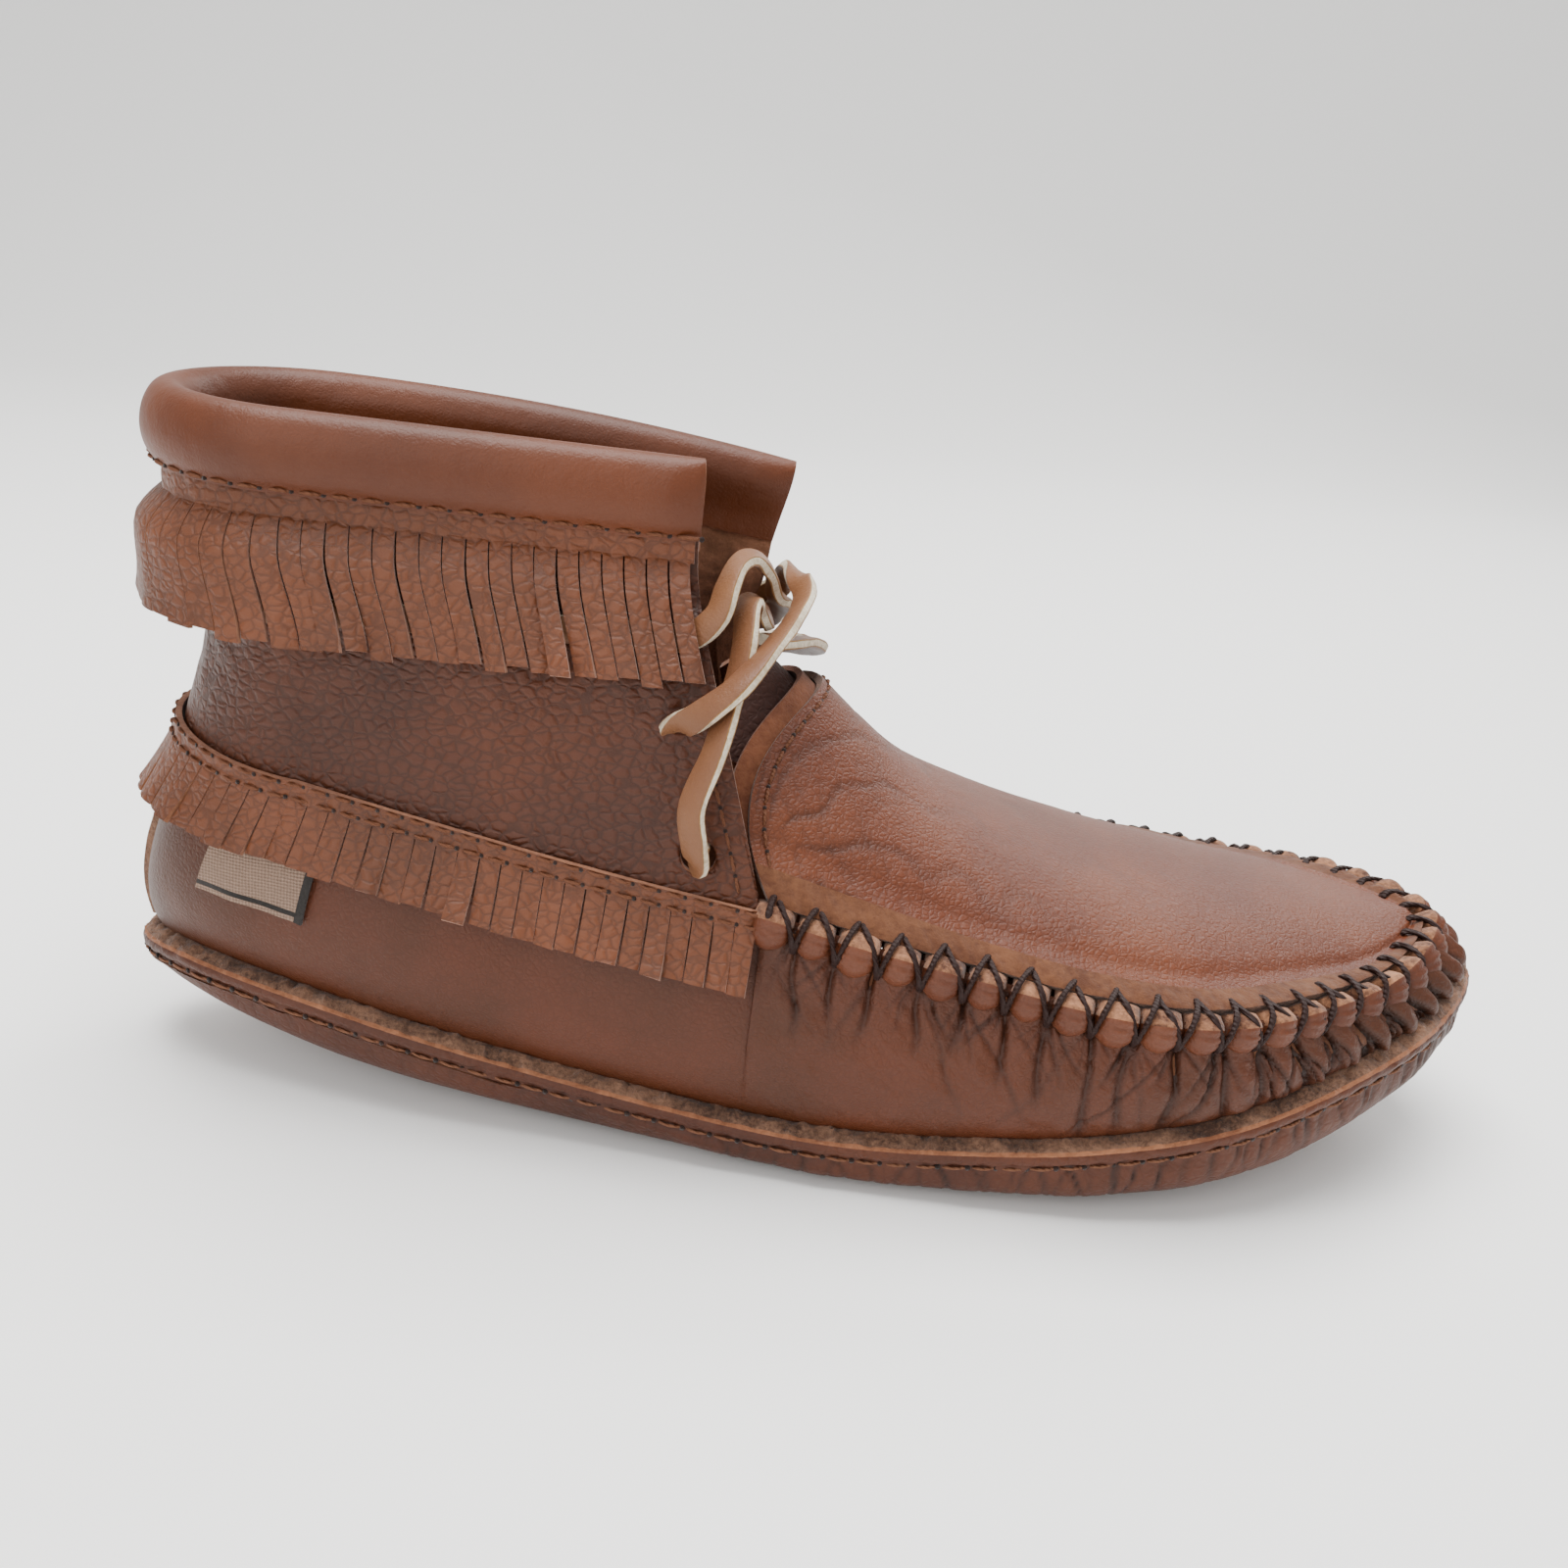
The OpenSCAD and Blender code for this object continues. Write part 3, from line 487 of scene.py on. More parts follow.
def lay_row(name, lines, out_dirs, element, pitch, finishes, spread=0.06, seed=1):
    """A row of elements along each line in shoe millimetres, baked to one plain mesh."""
    points, edges, dirs = [], [], []
    for line, out_dir in zip(lines, out_dirs):
        edges += [(len(points) + i, len(points) + i + 1) for i in range(len(line) - 1)]
        points += ((line + heel_shift) / 1000).tolist()
        dirs += out_dir.tolist()
    mesh = bpy.data.meshes.new(name)
    mesh.from_pydata(points, edges, [])
    mesh.attributes.new("out_dir", "FLOAT_VECTOR", "POINT").data.foreach_set("vector", np.ravel(dirs))
    piece = bpy.data.objects.new(name, mesh)
    bpy.context.scene.collection.objects.link(piece)
    row = piece.modifiers.new("row", "NODES")
    row.node_group = row_nodes
    values = {"Element": element, "Pitch": pitch / 1000, "Size Spread": spread, "Seed": seed,
              "Finish": finishes[0], "Second Finish": finishes[-1]}
    for item in row_nodes.interface.items_tree:
        if item.in_out == "INPUT" and item.name in values:
            row[item.identifier] = values[item.name]
    piece.update_tag()
    bpy.context.view_layer.update()
    seen = piece.evaluated_get(bpy.context.evaluated_depsgraph_get())
    baked = bpy.data.meshes.new_from_object(seen)
    piece.modifiers.clear()
    piece.data = baked
    baked.name = name
    baked.polygons.foreach_set("use_smooth", [True] * len(baked.polygons))
    return piece


def element_object(name, points, faces, second=()):
    """One element in its own millimetres, kept out of the shoe."""
    mesh = bpy.data.meshes.new(name)
    mesh.from_pydata((np.asarray(points) / 1000).tolist(), [], faces)
    marks = [i in second for i in range(len(faces))]
    mesh.attributes.new("second", "BOOLEAN", "FACE").data.foreach_set("value", marks)
    made = bpy.data.objects.new(name, mesh)
    bpy.context.scene.collection.objects.link(made)
    return made


def strand_faces(n, m, loop=False):
    """Faces round n rings of m points each, with a cap on both ends of an open strand."""
    faces = [[i * m + j, (i + 1) % n * m + j, (i + 1) % n * m + (j + 1) % m, i * m + (j + 1) % m]
             for i in range(n if loop else n - 1) for j in range(m)]
    return faces if loop else faces + [list(range(m)), [(n - 1) * m + j for j in range(m)][::-1]]


def tube(path, half_a, half_b, out_dirs, sides=8, loop=False):
    """Points and faces of a round or flattened strand along a path."""
    if loop:
        ahead = unit(np.roll(path, -1, 0) - np.roll(path, 1, 0))
    else:
        ahead = unit(np.gradient(path, axis=0))
    across = unit(np.cross(ahead, out_dirs))
    raised = np.cross(across, ahead)
    angle = 2 * math.pi * np.arange(sides) / sides
    half_a, half_b = (np.broadcast_to(h, len(path))[:, None, None] for h in (half_a, half_b))
    rings = (path[:, None] + across[:, None] * np.cos(angle)[None, :, None] * half_a
             + raised[:, None] * np.sin(angle)[None, :, None] * half_b)
    return turned_out(rings.reshape(-1, 3), strand_faces(len(path), sides, loop))


def turned_out(points, faces):
    """Flips the faces of a closed shape if they point inwards."""
    points = np.asarray(points, float)
    volume = 0
    for size in {len(f) for f in faces}:
        group = points[np.array([f for f in faces if len(f) == size])]
        for k in range(1, size - 1):
            volume += np.sum(group[:, 0] * np.cross(group[:, k], group[:, k + 1]))
    return points, faces if volume > 0 else [f[::-1] for f in faces]


def stitch_element(name, length, half, hole=0.55):
    """One stitch that dips at both ends, and after it the awl hole, filled with a dark plug that paints its
    shadow.
    """
    x = np.linspace(-0.5, 0.5, 9)
    path = np.stack([x * length, 0 * x, half * (1.5 * np.cos(math.pi * x) - 0.7)], axis=-1)
    width = half * (0.75 + 0.25 * np.cos(math.pi * x))
    points, faces = tube(path, width, width, np.array([[0, 0, 1.0]] * 9), 6)
    # Painted shadow: a dark plug marked for the second finish stands in the awl hole, where only shade falls.
    angle = 2 * math.pi * np.arange(10) / 10
    centre = np.array([length / 2 + hole * 0.7, 0, 0])
    rim = [centre + (hole * math.cos(a), hole * math.sin(a), 0.02) for a in angle]
    foot = [centre + (hole * math.cos(a), hole * math.sin(a), -0.5) for a in angle]
    base = len(points)
    disc = [[base + i for i in range(10)], [base + 10 + i for i in range(10)][::-1]]
    wall = [[base + i, base + 10 + i, base + 10 + (i + 1) % 10, base + (i + 1) % 10] for i in range(10)]
    faces = faces + disc + wall
    marked = set(range(len(faces) - 12, len(faces)))
    return element_object(name, np.concatenate([points, rim, foot]), faces, marked)


def waxed_thread(name, colour, rough=0.75):
    """Waxed linen or polyester cord: one colour, a low shine along the twist."""
    made, tree, shader = new_finish(name)
    place = add_node(tree, "ShaderNodeTexCoord").outputs["Object"]
    twist = add_node(tree, "ShaderNodeTexWave", {"Vector": place, "Scale": 420, "Distortion": 2},
                     bands_direction="DIAGONAL")
    bump = add_node(tree, "ShaderNodeBump", {"Height": twist.outputs["Fac"], "Distance": 0.0002})
    tree.links.new(bump.outputs[0], shader.inputs["Normal"])
    shader.inputs["Base Color"].default_value = linear(colour)
    shader.inputs["Roughness"].default_value = rough
    shader.inputs["Specular IOR Level"].default_value = 0.2
    return made


tan_thread = waxed_thread("tan_waxed_thread", "#6b4632")
brown_thread = waxed_thread("brown_waxed_thread", "#5f3a27")
dark_thread = waxed_thread("dark_waxed_cord", "#23120e", 0.6)
# Dark finish for the awl holes, their painted shadow.
hole_shadow = raw_suede("awl_hole_painted_shadow", "#2a1a14", "#1c110d")
long_stitch = stitch_element("long_stitch", 4.3, thread_half)
closed_line = np.concatenate([stitch_line, stitch_line[:1]])
closed_dirs = np.concatenate([stitch_out, stitch_out[:1]])
sole_stitches = lay_row("sole_thread", [closed_line], [closed_dirs], long_stitch, stitch_pitch,
                        [tan_thread, hole_shadow])
fit(sole_stitches, "tan_thread", "sole_thread")


# Side wall: one band of softer hide that runs round the foot. Along the front it is longer than
# the apron seam, so it is gathered: sharp creases fan down from every pucker hole, shallow
# along the sides and deep and upright round the toe. At the heel it is plain.
apron_line = np.array([
    [129, -40.5, 57.6], [150, -41.3, 52.8], [172, -42.6, 48.8], [195, -46, 46], [217, -44.3, 44.6],
    [240, -32.6, 44.1], [260, -17, 45], [273.5, 8, 46], [262, 32, 45], [238, 42.5, 44.1],
    [205, 48.3, 45.4], [165, 44, 50.5], [129, 41.5, 57.6]])
wall_level = [13.5, 2, 26, 40.5, 39.5, 129, 127, 74, 57.6, 57.6]
half_t = 0.8
pucker_count = 42
lobe_drop = 6.2


def horseshoe(level, t):
    """Line round the back of the ankle: t is -1 at the outer front edge, 0 at the heel."""
    back_x, mid_y, half_back, half_lat, half_med, x_lat, x_med, z_back, z_lat, z_med = level
    lateral = t < 0
    front_x = np.where(lateral, x_lat, x_med)
    turn_round = np.minimum(np.abs(t) / 0.35, 1) * math.pi / 2
    run = np.maximum(np.abs(t) - 0.35, 0) / 0.65
    x = back_x + 26 * (1 - np.cos(turn_round)) + (front_x - back_x - 26) * run
    half = half_back * np.sin(turn_round)
    half = half + (np.where(lateral, half_lat, half_med) - half_back) * run * (1.5 - 0.5 * run)
    f = (x - back_x) / (front_x - back_x)
    z = z_back + (np.where(lateral, z_lat, z_med) - z_back) * np.where(lateral, f, np.maximum(f, 0) ** 2.2)
    return np.stack([x, mid_y + np.where(lateral, -1, 1) * half, z], axis=-1)


def wall_ends(u):
    s = np.mod(u, 20)
    s = np.where(s > 10, s - 20, s)
    rear = horseshoe(wall_level, np.clip(-s / 4, -1, 1))
    front = on_path(apron_line, np.clip(np.where(s < 0, s + 20, s) - 4, 0, 12)) - np.array([0, 0, 0.6])
    top = np.where((np.abs(s) <= 4)[..., None], rear, front)
    foot = on_loop(sole_line, u) - 3.4 * outward(u) + np.array([0, 0, 2.7])
    return foot, top, np.where(np.abs(s) < 6, 4.5, 4.5 - (np.abs(s) - 6) * 0.55)


def wall_point(u, v):
    u, v = np.broadcast_arrays(np.asarray(u, float), np.asarray(v, float))
    foot, top, bulge = wall_ends(u)
    return foot + (top - foot) * v[..., None] + outward(u) * (bulge * 6.75 * v * (1 - v) ** 2)[..., None]


def wall_normal(u, v):
    return unit(np.cross(wall_point(u + 0.04, v) - wall_point(u - 0.04, v),
                         wall_point(u, v + 0.02) - wall_point(u, v - 0.02)))


def off_wall(u, v, d):
    return wall_point(u, v) + wall_normal(u, v) * np.asarray(d, float)[..., None]


wall_finish = grain_leather("gathered_wall_hide", "#4f2612", "#401f0c", 1.1, 0.07, 0.5, 1.0, 0.88)
front_u = np.linspace(4, 16, 900)
wall_u = np.concatenate([front_u, np.linspace(16, 24, 161)[1:-1]])
wall_v = np.concatenate([np.linspace(0, 0.12, 5)[:-1], np.linspace(0.12, 1, 50)])
foot, top, _ = wall_ends(front_u)
wall_high = np.linalg.norm(top - foot, axis=1)
pucker_v = 1 - 2.7 / wall_high
pucker_line = off_wall(front_u, pucker_v, half_t + 0.4)
pucker_mm = np.concatenate([[0], np.cumsum(np.linalg.norm(np.diff(pucker_line, axis=0), axis=1))])
pucker_pitch = pucker_mm[-1] / pucker_count
grid = wall_point(wall_u[:, None], wall_v[None, :])
normal = grid_normals(grid, True)
n_front = len(front_u)
below = (1 - wall_v)[None, :] * wall_high[:, None]
toe_mm = np.interp(11.2, front_u, pucker_mm)
toe_share = np.exp(-((pucker_mm - toe_mm) / 85) ** 4)[:, None]
rng = np.random.default_rng(21)
relief = np.zeros(grid.shape[:2])
crease = np.zeros((n_front, len(wall_v)))
for hole in range(pucker_count + 1):
    start = hole * pucker_pitch
    for branch in range(10):
        slope = rng.uniform(-1.1, 1.1) if branch else rng.uniform(-0.25, 0.25)
        reach = rng.uniform(7, 17) if branch > 1 else rng.uniform(14, 30)
        wide = rng.uniform(0.22, 0.42) if branch else 0.5
        deep = rng.uniform(0.2, 0.6) if branch else 0.9
        bend_mm = rng.uniform(-1.1, 1.1) * np.sin(below / rng.uniform(1.6, 4) + rng.uniform(0, 6))
        line = start + slope * (1 - 0.6 * toe_share) * np.maximum(below - 4, 0) * 0.8 + bend_mm
        far = np.clip((reach * (1 + 1.3 * toe_share) - below) / 6, 0, 1) * np.clip((below - 2) / 3, 0, 1)
        width = wide * (1 + below / 30)
        crease -= deep * (0.5 + 0.5 * toe_share) * far * np.exp(-((pucker_mm[:, None] - line) / width) ** 2)
between = np.sin(math.pi * pucker_mm[:, None] / pucker_pitch) ** 2
puff = between * (1.5 * np.exp(-below / 7) + 1.7 * toe_share * np.exp(-below / 26))
crease = np.maximum(crease, -1.5)
# fold paints shade into the creases that fan down from the pucker holes.
fold = np.zeros(grid.shape[:2])
fold[:n_front] = np.clip(-crease / 0.9, 0, 1) ** 0.7
relief[:n_front] = 1.7 * crease + puff - 0.5 * toe_share * np.exp(-below / 20)
relief[:n_front] += (0.22 * ripple(pucker_mm[:, None], below, 9, 8)
                     + 0.1 * ripple(pucker_mm[:, None], below, 2.6, 9))
relief[n_front:] += 0.4 * ripple(wall_u[n_front:, None] * 24, wall_v[None, :] * 40, 30, 7)
from_join = np.clip(np.min([np.abs(wall_u - join) for join in (4, 16, 24)], axis=0) / 0.3, 0, 1)
relief *= from_join[:, None]
fold *= from_join[:, None]
relief *= np.clip(wall_v / 0.12, 0, 1)[None, :] * np.clip((1 - wall_v) / 0.03, 0.3, 1)[None, :]
points, faces, side = shell(grid + normal * (half_t + relief)[..., None],
                            grid[:, ::9] - normal[:, ::9] * half_t, True)
wall = build("side_wall", points, faces, [wall_finish, flesh, cut_edge], side, 60, fold)
fit(wall, "wall_leather", "side_wall")


# Heel seam: the ends of the wall meet at the back, butted and held by a raw-edged strip.
heel_v = np.linspace(0.02, 0.62, 26)
heel_mid = wall_point(0 * heel_v, heel_v)
strip = []
for across_mm, out_mm in ((-2.2, -0.2), (-1.7, 1.3), (-0.4, 1.7), (0.4, 1.7), (1.7, 1.3), (2.2, -0.2)):
    strip.append(heel_mid + np.array([-half_t, 0, 0]) + np.array([-1.0, 0, 0]) * out_mm
                 + np.array([0, 1.0, 0]) * across_mm
                 + up_mm(0.15 * np.sin(heel_v * 40 + across_mm)))
grid = np.stack(strip, axis=1)
heel_seam = build("heel_seam", *turned_out(grid.reshape(-1, 3), strand_faces(*grid.shape[:2])),
                  [seam_finish])
fit(heel_seam, "raw_suede", "heel_seam")


# Apron: the tongue-shaped top of the foot, pebbled grain hide stretched smooth at the toe and
# creased where the foot bends, in long folds that fan out of the two throat corners.
ridge_line = np.array([
    [136.6, 3, 89.8], [146, 3, 81.8], [160, 4, 71], [178, 4, 63.6], [200, 5, 58.2], [225, 7, 53.4],
    [252, 9, 49.5], [272.5, 9, 47]])


def apron_edge(s, u):
    p, c = on_path(apron_line, u), on_path(ridge_line, s * 7)
    d = c - p
    return p + 1.4 * unit(np.stack([d[..., 0] + 0.01, d[..., 1], 0 * d[..., 0]], axis=-1))


def apron_point(s, w):
    s, w = np.broadcast_arrays(np.asarray(s, float), np.asarray(w, float))
    k = np.minimum(s, 0.995)
    a, b = apron_edge(k, k * 7), apron_edge(k, 12 - k * 5)
    c = on_path(ridge_line, k * 7)
    arch = (1 - w * w) * (1 + 0.35 * w * w)
    bow = w * w * (1 - w * w) * (1 - k) * 4
    flat = a + (b - a) * ((w + 1) / 2)[..., None]
    x = flat[..., 0] + (c[..., 0] - flat[..., 0]) * arch - 9 * bow * np.maximum(0, 1 - 2 * k)
    z = flat[..., 2] + (c[..., 2] - (a + b)[..., 2] / 2) * arch
    return np.stack([x, flat[..., 1], z], axis=-1)


def off_apron(s, w, d):
    s, w = np.broadcast_arrays(np.asarray(s, float), np.asarray(w, float))
    along = apron_point(np.minimum(s + 0.01, 0.99), w) - apron_point(np.maximum(s - 0.01, 0), w)
    wide = apron_point(s, np.minimum(w + 0.02, 1)) - apron_point(s, np.maximum(w - 0.02, -1))
    return apron_point(s, w) + unit(np.cross(along, wide)) * d


apron_finish = grain_leather("pebbled_apron_hide", "#613017", "#532611", 1.25, 0.1, 0.5, 1.3, 0.8)
apron_s = np.linspace(0, 0.985, 230)
apron_w = np.linspace(-1, 1, 190)
grid = apron_point(apron_s[:, None], apron_w[None, :])
normal = grid_normals(grid)
relief = 0.3 * ripple(grid[..., 0], grid[..., 1], 34, 31)
fold = 0
wander = 1.3 * ripple(grid[..., 0], grid[..., 1], 13, 32)
for corner, seed in ((grid[0, 6], 33), (grid[0, -7], 34)):
    reach = np.linalg.norm(grid - corner, axis=-1)
    angle = np.arctan2(grid[..., 1] - corner[1], grid[..., 0] - corner[0])
    folds = np.sin(angle * 15 + wander + 0.12 * reach) * np.clip(reach / 12, 0, 1)
    long_folds = np.maximum(folds - 0.55, 0) / 0.45 * np.exp(-reach / 34)
    relief -= 0.34 * long_folds
    cross_folds = np.sin(reach / 0.85 + wander * 2.5) + 0.4 * ripple(grid[..., 0], grid[..., 1], 3, seed)
    short_folds = np.maximum(cross_folds - 0.5, 0) * np.exp(-(reach / 30) ** 2)
    relief -= 0.16 * short_folds
    # fold paints shade into the long and short folds.
    fold = fold + 0.7 * long_folds + 0.35 * short_folds
edge_mm = (1 - np.abs(apron_w))[None, :] * 38
relief += 1.5 * np.exp(-(edge_mm / 2.4) ** 2) - 0.5 * np.exp(-((edge_mm - 5.5) / 1.6) ** 2)
relief += 0.16 * ripple(apron_s[:, None] * 170, edge_mm, 4, 35) * np.exp(-edge_mm / 4)
points, faces, side = shell(grid + normal * (half_t + relief)[..., None],
                            grid - normal * (half_t - 0.7 * np.exp(-(edge_mm / 1.6) ** 2))[..., None])
apron = build("apron", points, faces, [apron_finish, flesh, seam_finish], side, 60, fold)
lip_faces = []
for f, s_ in zip(faces, side):
    column = f[0] % len(apron_w)
    lip_faces.append(1 if s_ == 0 and (column < 8 or column > len(apron_w) - 10) else s_)
apron.data.polygons.foreach_set("material_index", lip_faces)
fit(apron, "apron_leather", "apron")


# Puckers: between two neighbouring holes the wall stands up in a short rounded lobe, folded
# over so that its cut top shows as a half-moon of raw suede.
lobe_finish = grain_leather("folded_lobe_hide", "#5d311c", "#4d2615", 1.3, 0.06, 0.48, 1.0, 0.92)
lobe_suede = raw_suede("half_moon_suede", "#97694c", "#412519", 0.7, 0.5)
half_wide = pucker_pitch * 0.47
front_rows = 12
ring_rows = []
for a in np.linspace(-1, 1, 15):
    g = (1 - abs(a) ** 2.4) ** 0.55
    ring = []
    for b in np.linspace(0, 1, front_rows):
        reach = 0.2 + 3.9 * math.sin(math.pi / 2 * min(1, b * 1.35)) ** 0.8
        fold = 0.5 * math.exp(-((b - 0.45) / 0.07) ** 2) + 0.45 * math.exp(-((b - 0.74) / 0.06) ** 2)
        ring.append([half_wide * a * (0.93 + 0.07 * b), -(reach - fold) * g + 0.3,
                     -lobe_drop * (1 - b) * (1 - 0.35 * a * a) - 0.8 * abs(a) ** 3 * b])
    lip = ring[-1]
    for c in (0.08, 0.25, 0.45, 1):
        ring.append([lip[0], lip[1] * (1 - c) + 3.0 * c, lip[2] + 0.35 + 1.9 * min(1, c * 2.2) ** 0.8])
    ring.append([lip[0], 3.0, -2.5])
    ring_rows.append(ring)
rings = np.array(ring_rows)
faces = strand_faces(*rings.shape[:2])
top_faces = {i for i, f in enumerate(faces) if front_rows - 1 <= f[0] % rings.shape[1] < front_rows + 3}
lobe = element_object("pucker_lobe", *turned_out(rings.reshape(-1, 3), faces), top_faces)
lobe_mm = np.linspace(0.5, pucker_count - 0.5, 400) * pucker_pitch
lobe_u = np.interp(lobe_mm, pucker_mm, front_u)
lobe_foot, lobe_top, _ = wall_ends(lobe_u)
lobe_v = 1 - 0.4 / np.linalg.norm(lobe_top - lobe_foot, axis=1)
lobe_line = off_wall(lobe_u, lobe_v, half_t + 0.2)
lobe_up = unit(unit(lobe_top - lobe_foot) + 0.25 * outward(lobe_u) * -1)
lobes = lay_row("pucker_edge", [lobe_line], [lobe_up], lobe, pucker_pitch * 0.998,
                [lobe_finish, lobe_suede], 0.09, 4)
fit(lobes, "raw_suede", "pucker_edge")


# Apron stitching: heavy dark waxed cord, hand laid. From every pucker hole two strands climb
# between the lobes and cross over their corners to the neighbouring holes of the apron.
cord_half = 0.62


def seam_place(mm, out_mm, rise_mm):
    u = np.interp(mm, pucker_mm, front_u)
    p = on_path(apron_line, np.array([u - 4]))[0]
    d = on_path(apron_line, np.array([u - 3.95]))[0] - on_path(apron_line, np.array([u - 4.05]))[0]
    away = np.array([d[1], -d[0], 0]) / math.hypot(d[0], d[1])
    return p + away * out_mm + np.array([0, 0, rise_mm])


rng = np.random.default_rng(44)
points, faces = [], []
for hole in range(pucker_count + 1):
    for way in (-1, 1):
        if not 0 < hole + way * 0.5 < pucker_count:
            continue
        mm = hole * pucker_pitch
        lean = way * pucker_pitch
        lift = rng.uniform(-0.25, 0.25) + 0.3 * way
        stops = np.array([
            seam_place(mm, 1.6, -6.4), seam_place(mm + 0.03 * lean, 3.3, -4.6),
            seam_place(mm + 0.12 * lean, 4.1, -1.4), seam_place(mm + 0.26 * lean, 3.2, 1.3 + lift),
            seam_place(mm + 0.42 * lean, 0.2, 2.3 + lift), seam_place(mm + 0.54 * lean, -2.8, 2.3),
            seam_place(mm + 0.58 * lean, -4.0, 0.6)])
        path = on_path(stops, np.linspace(0, 6, 19))
        swell = cord_half * (1 + 0.12 * np.sin(np.arange(19) * 1.7 + hole))
        p, f = tube(path, swell, swell * 0.8, np.array([[0, 0, 1.0]] * 19), 8)
        faces += [[len(points) + i for i in face] for face in f]
        points += p.tolist()
cross_cord = build("pucker_thread", points, faces, [dark_thread])
fit(cross_cord, "dark_thread", "pucker_thread")


# Throat: a folded strip of lighter suede binds the apron's edge from inside and stands just
# above it. The apron is stitched to it in brown thread near the edge.
binding_finish = raw_suede("throat_suede", "#7a4b33", "#5b3422", 0.8, 0.3)
throat_w = np.linspace(-0.93, 0.93, 90)
away = unit(apron_point(0, throat_w) - apron_point(0.03, throat_w))
levels = [off_apron(0.04, throat_w, -1.9), off_apron(0, throat_w, -1.9),
          off_apron(0, throat_w, -1.8) + 2.0 * away,
          off_apron(0, throat_w, -1.7) + 4.0 * away]
grid = loft(levels, np.linspace(0, 3, 12))
points, faces, side = shell(grid + grid_normals(grid) * 0.7, grid - grid_normals(grid) * 0.7)
if np.mean(grid_normals(grid)[..., 2]) < 0:
    points, faces = turned_out(points, faces)
binding = build("throat_binding", *turned_out(points, faces), [binding_finish])
fit(binding, "lining_suede", "throat_binding")

throat_seam_s = 0.021
short_stitch = stitch_element("short_stitch", 3.2, 0.36, 0.42)
throat_w = np.linspace(-0.9, 0.9, 120)
throat_line = off_apron(throat_seam_s, throat_w, half_t + 0.15)
throat_dir = unit(off_apron(throat_seam_s, throat_w, 1.0) - apron_point(throat_seam_s, throat_w))
throat_stitches = lay_row("throat_thread", [throat_line], [throat_dir], short_stitch, 4.1,
                          [brown_thread, hole_shadow])
fit(throat_stitches, "dark_thread", "throat_thread")


# Tongue: a darker, smoother piece that closes the throat behind the lace. It is sewn in under
# the apron and bends inwards at its foot, so its lower edge stays with the apron.
tongue_finish = grain_leather("dark_tongue_hide", "#3c1c11", "#2e150d", 1.6, 0.14, 0.7)
tongue_f = np.linspace(-1, 1, 44)
levels = []
for s_at, half, climb in ((0.12, 0.35, 0), (0.06, 0.5, 0), (0, 0.62, 0), (0, 0.62, 7), (0, 0.5, 12)):
    w = tongue_f * half
    away = unit(apron_point(0, w) - apron_point(0.04, w))
    levels.append(off_apron(s_at, w, -4) + climb * away)
grid = loft(levels, np.linspace(0, 4, 40))
normal = grid_normals(grid)
relief = 0.25 * ripple(grid[..., 1], grid[..., 2], 12, 51)
points, faces, side = shell(grid + normal * (0.7 + relief)[..., None], grid - normal * 0.7)
tongue = build("tongue", *turned_out(points, faces), [tongue_finish, flesh, cut_edge], side, 60)
fit(tongue, "tongue_leather", "tongue", body="tongue")


# Ankle cuff: one wrap of pebbled hide, flesh side in, that meets neither its other end nor the
# apron: the throat stays open between its two front edges. Four punched holes take the lace.
waist_level = [15.5, 1.5, 26.5, 34, 32, 116.5, 121.5, 93, 95, 92]
upper_level = [10.5, 1, 25, 26.5, 25.5, 111.5, 124, 112, 112, 104]
stitch_level = [9.5, 1, 23.5, 25, 25, 110.5, 125.5, 124.5, 122.3, 115.5]
rim_level = [9.5, 1, 24.5, 25.5, 24, 110.5, 127.5, 137.9, 135.8, 124.5]
cuff_off = 2.0
lace_holes = [(108.6, -33.6, 89.3), (115.4, -40.6, 66), (109, 33.5, 89.3), (115.4, 41, 66)]
hole_d = 6.6


def cuff_grid(t, rows):
    """Cuff surface: row 0 its hem, 1 the top of the wall, 2 the waist, 4 the collar stitching."""
    levels = [off_wall(-4 * t, 0.86, cuff_off), off_wall(-4 * t, 1, cuff_off)]
    levels += [horseshoe(level, t) for level in (waist_level, upper_level, stitch_level, rim_level)]
    return loft(levels, rows)


steps_t, steps_q = 800, 172
table_t = np.linspace(-1, 1, steps_t + 1)
table_q = np.linspace(0, 4.3, steps_q + 1)
cuff_table = cuff_grid(table_t, table_q)
cuff_normals = unit(np.cross(np.gradient(cuff_table, axis=1), np.gradient(cuff_table, axis=0)))


def off_cuff(t, q, d):
    """Places on the cuff, d outside its middle surface, read from the table above."""
    t, q = np.broadcast_arrays(np.asarray(t, float), np.asarray(q, float))
    a = np.clip((t + 1) * steps_t / 2, 0, steps_t - 0.001)
    b = np.clip(q * steps_q / 4.3, 0, steps_q - 0.001)
    i, j = a.astype(int), b.astype(int)
    a, b = (a - i)[..., None], (b - j)[..., None]
    place, way = [(rows[i, j] * (1 - a) + rows[i + 1, j] * a) * (1 - b)
                  + (rows[i, j + 1] * (1 - a) + rows[i + 1, j + 1] * a) * b
                  for rows in (cuff_table, cuff_normals)]
    return place + way * d


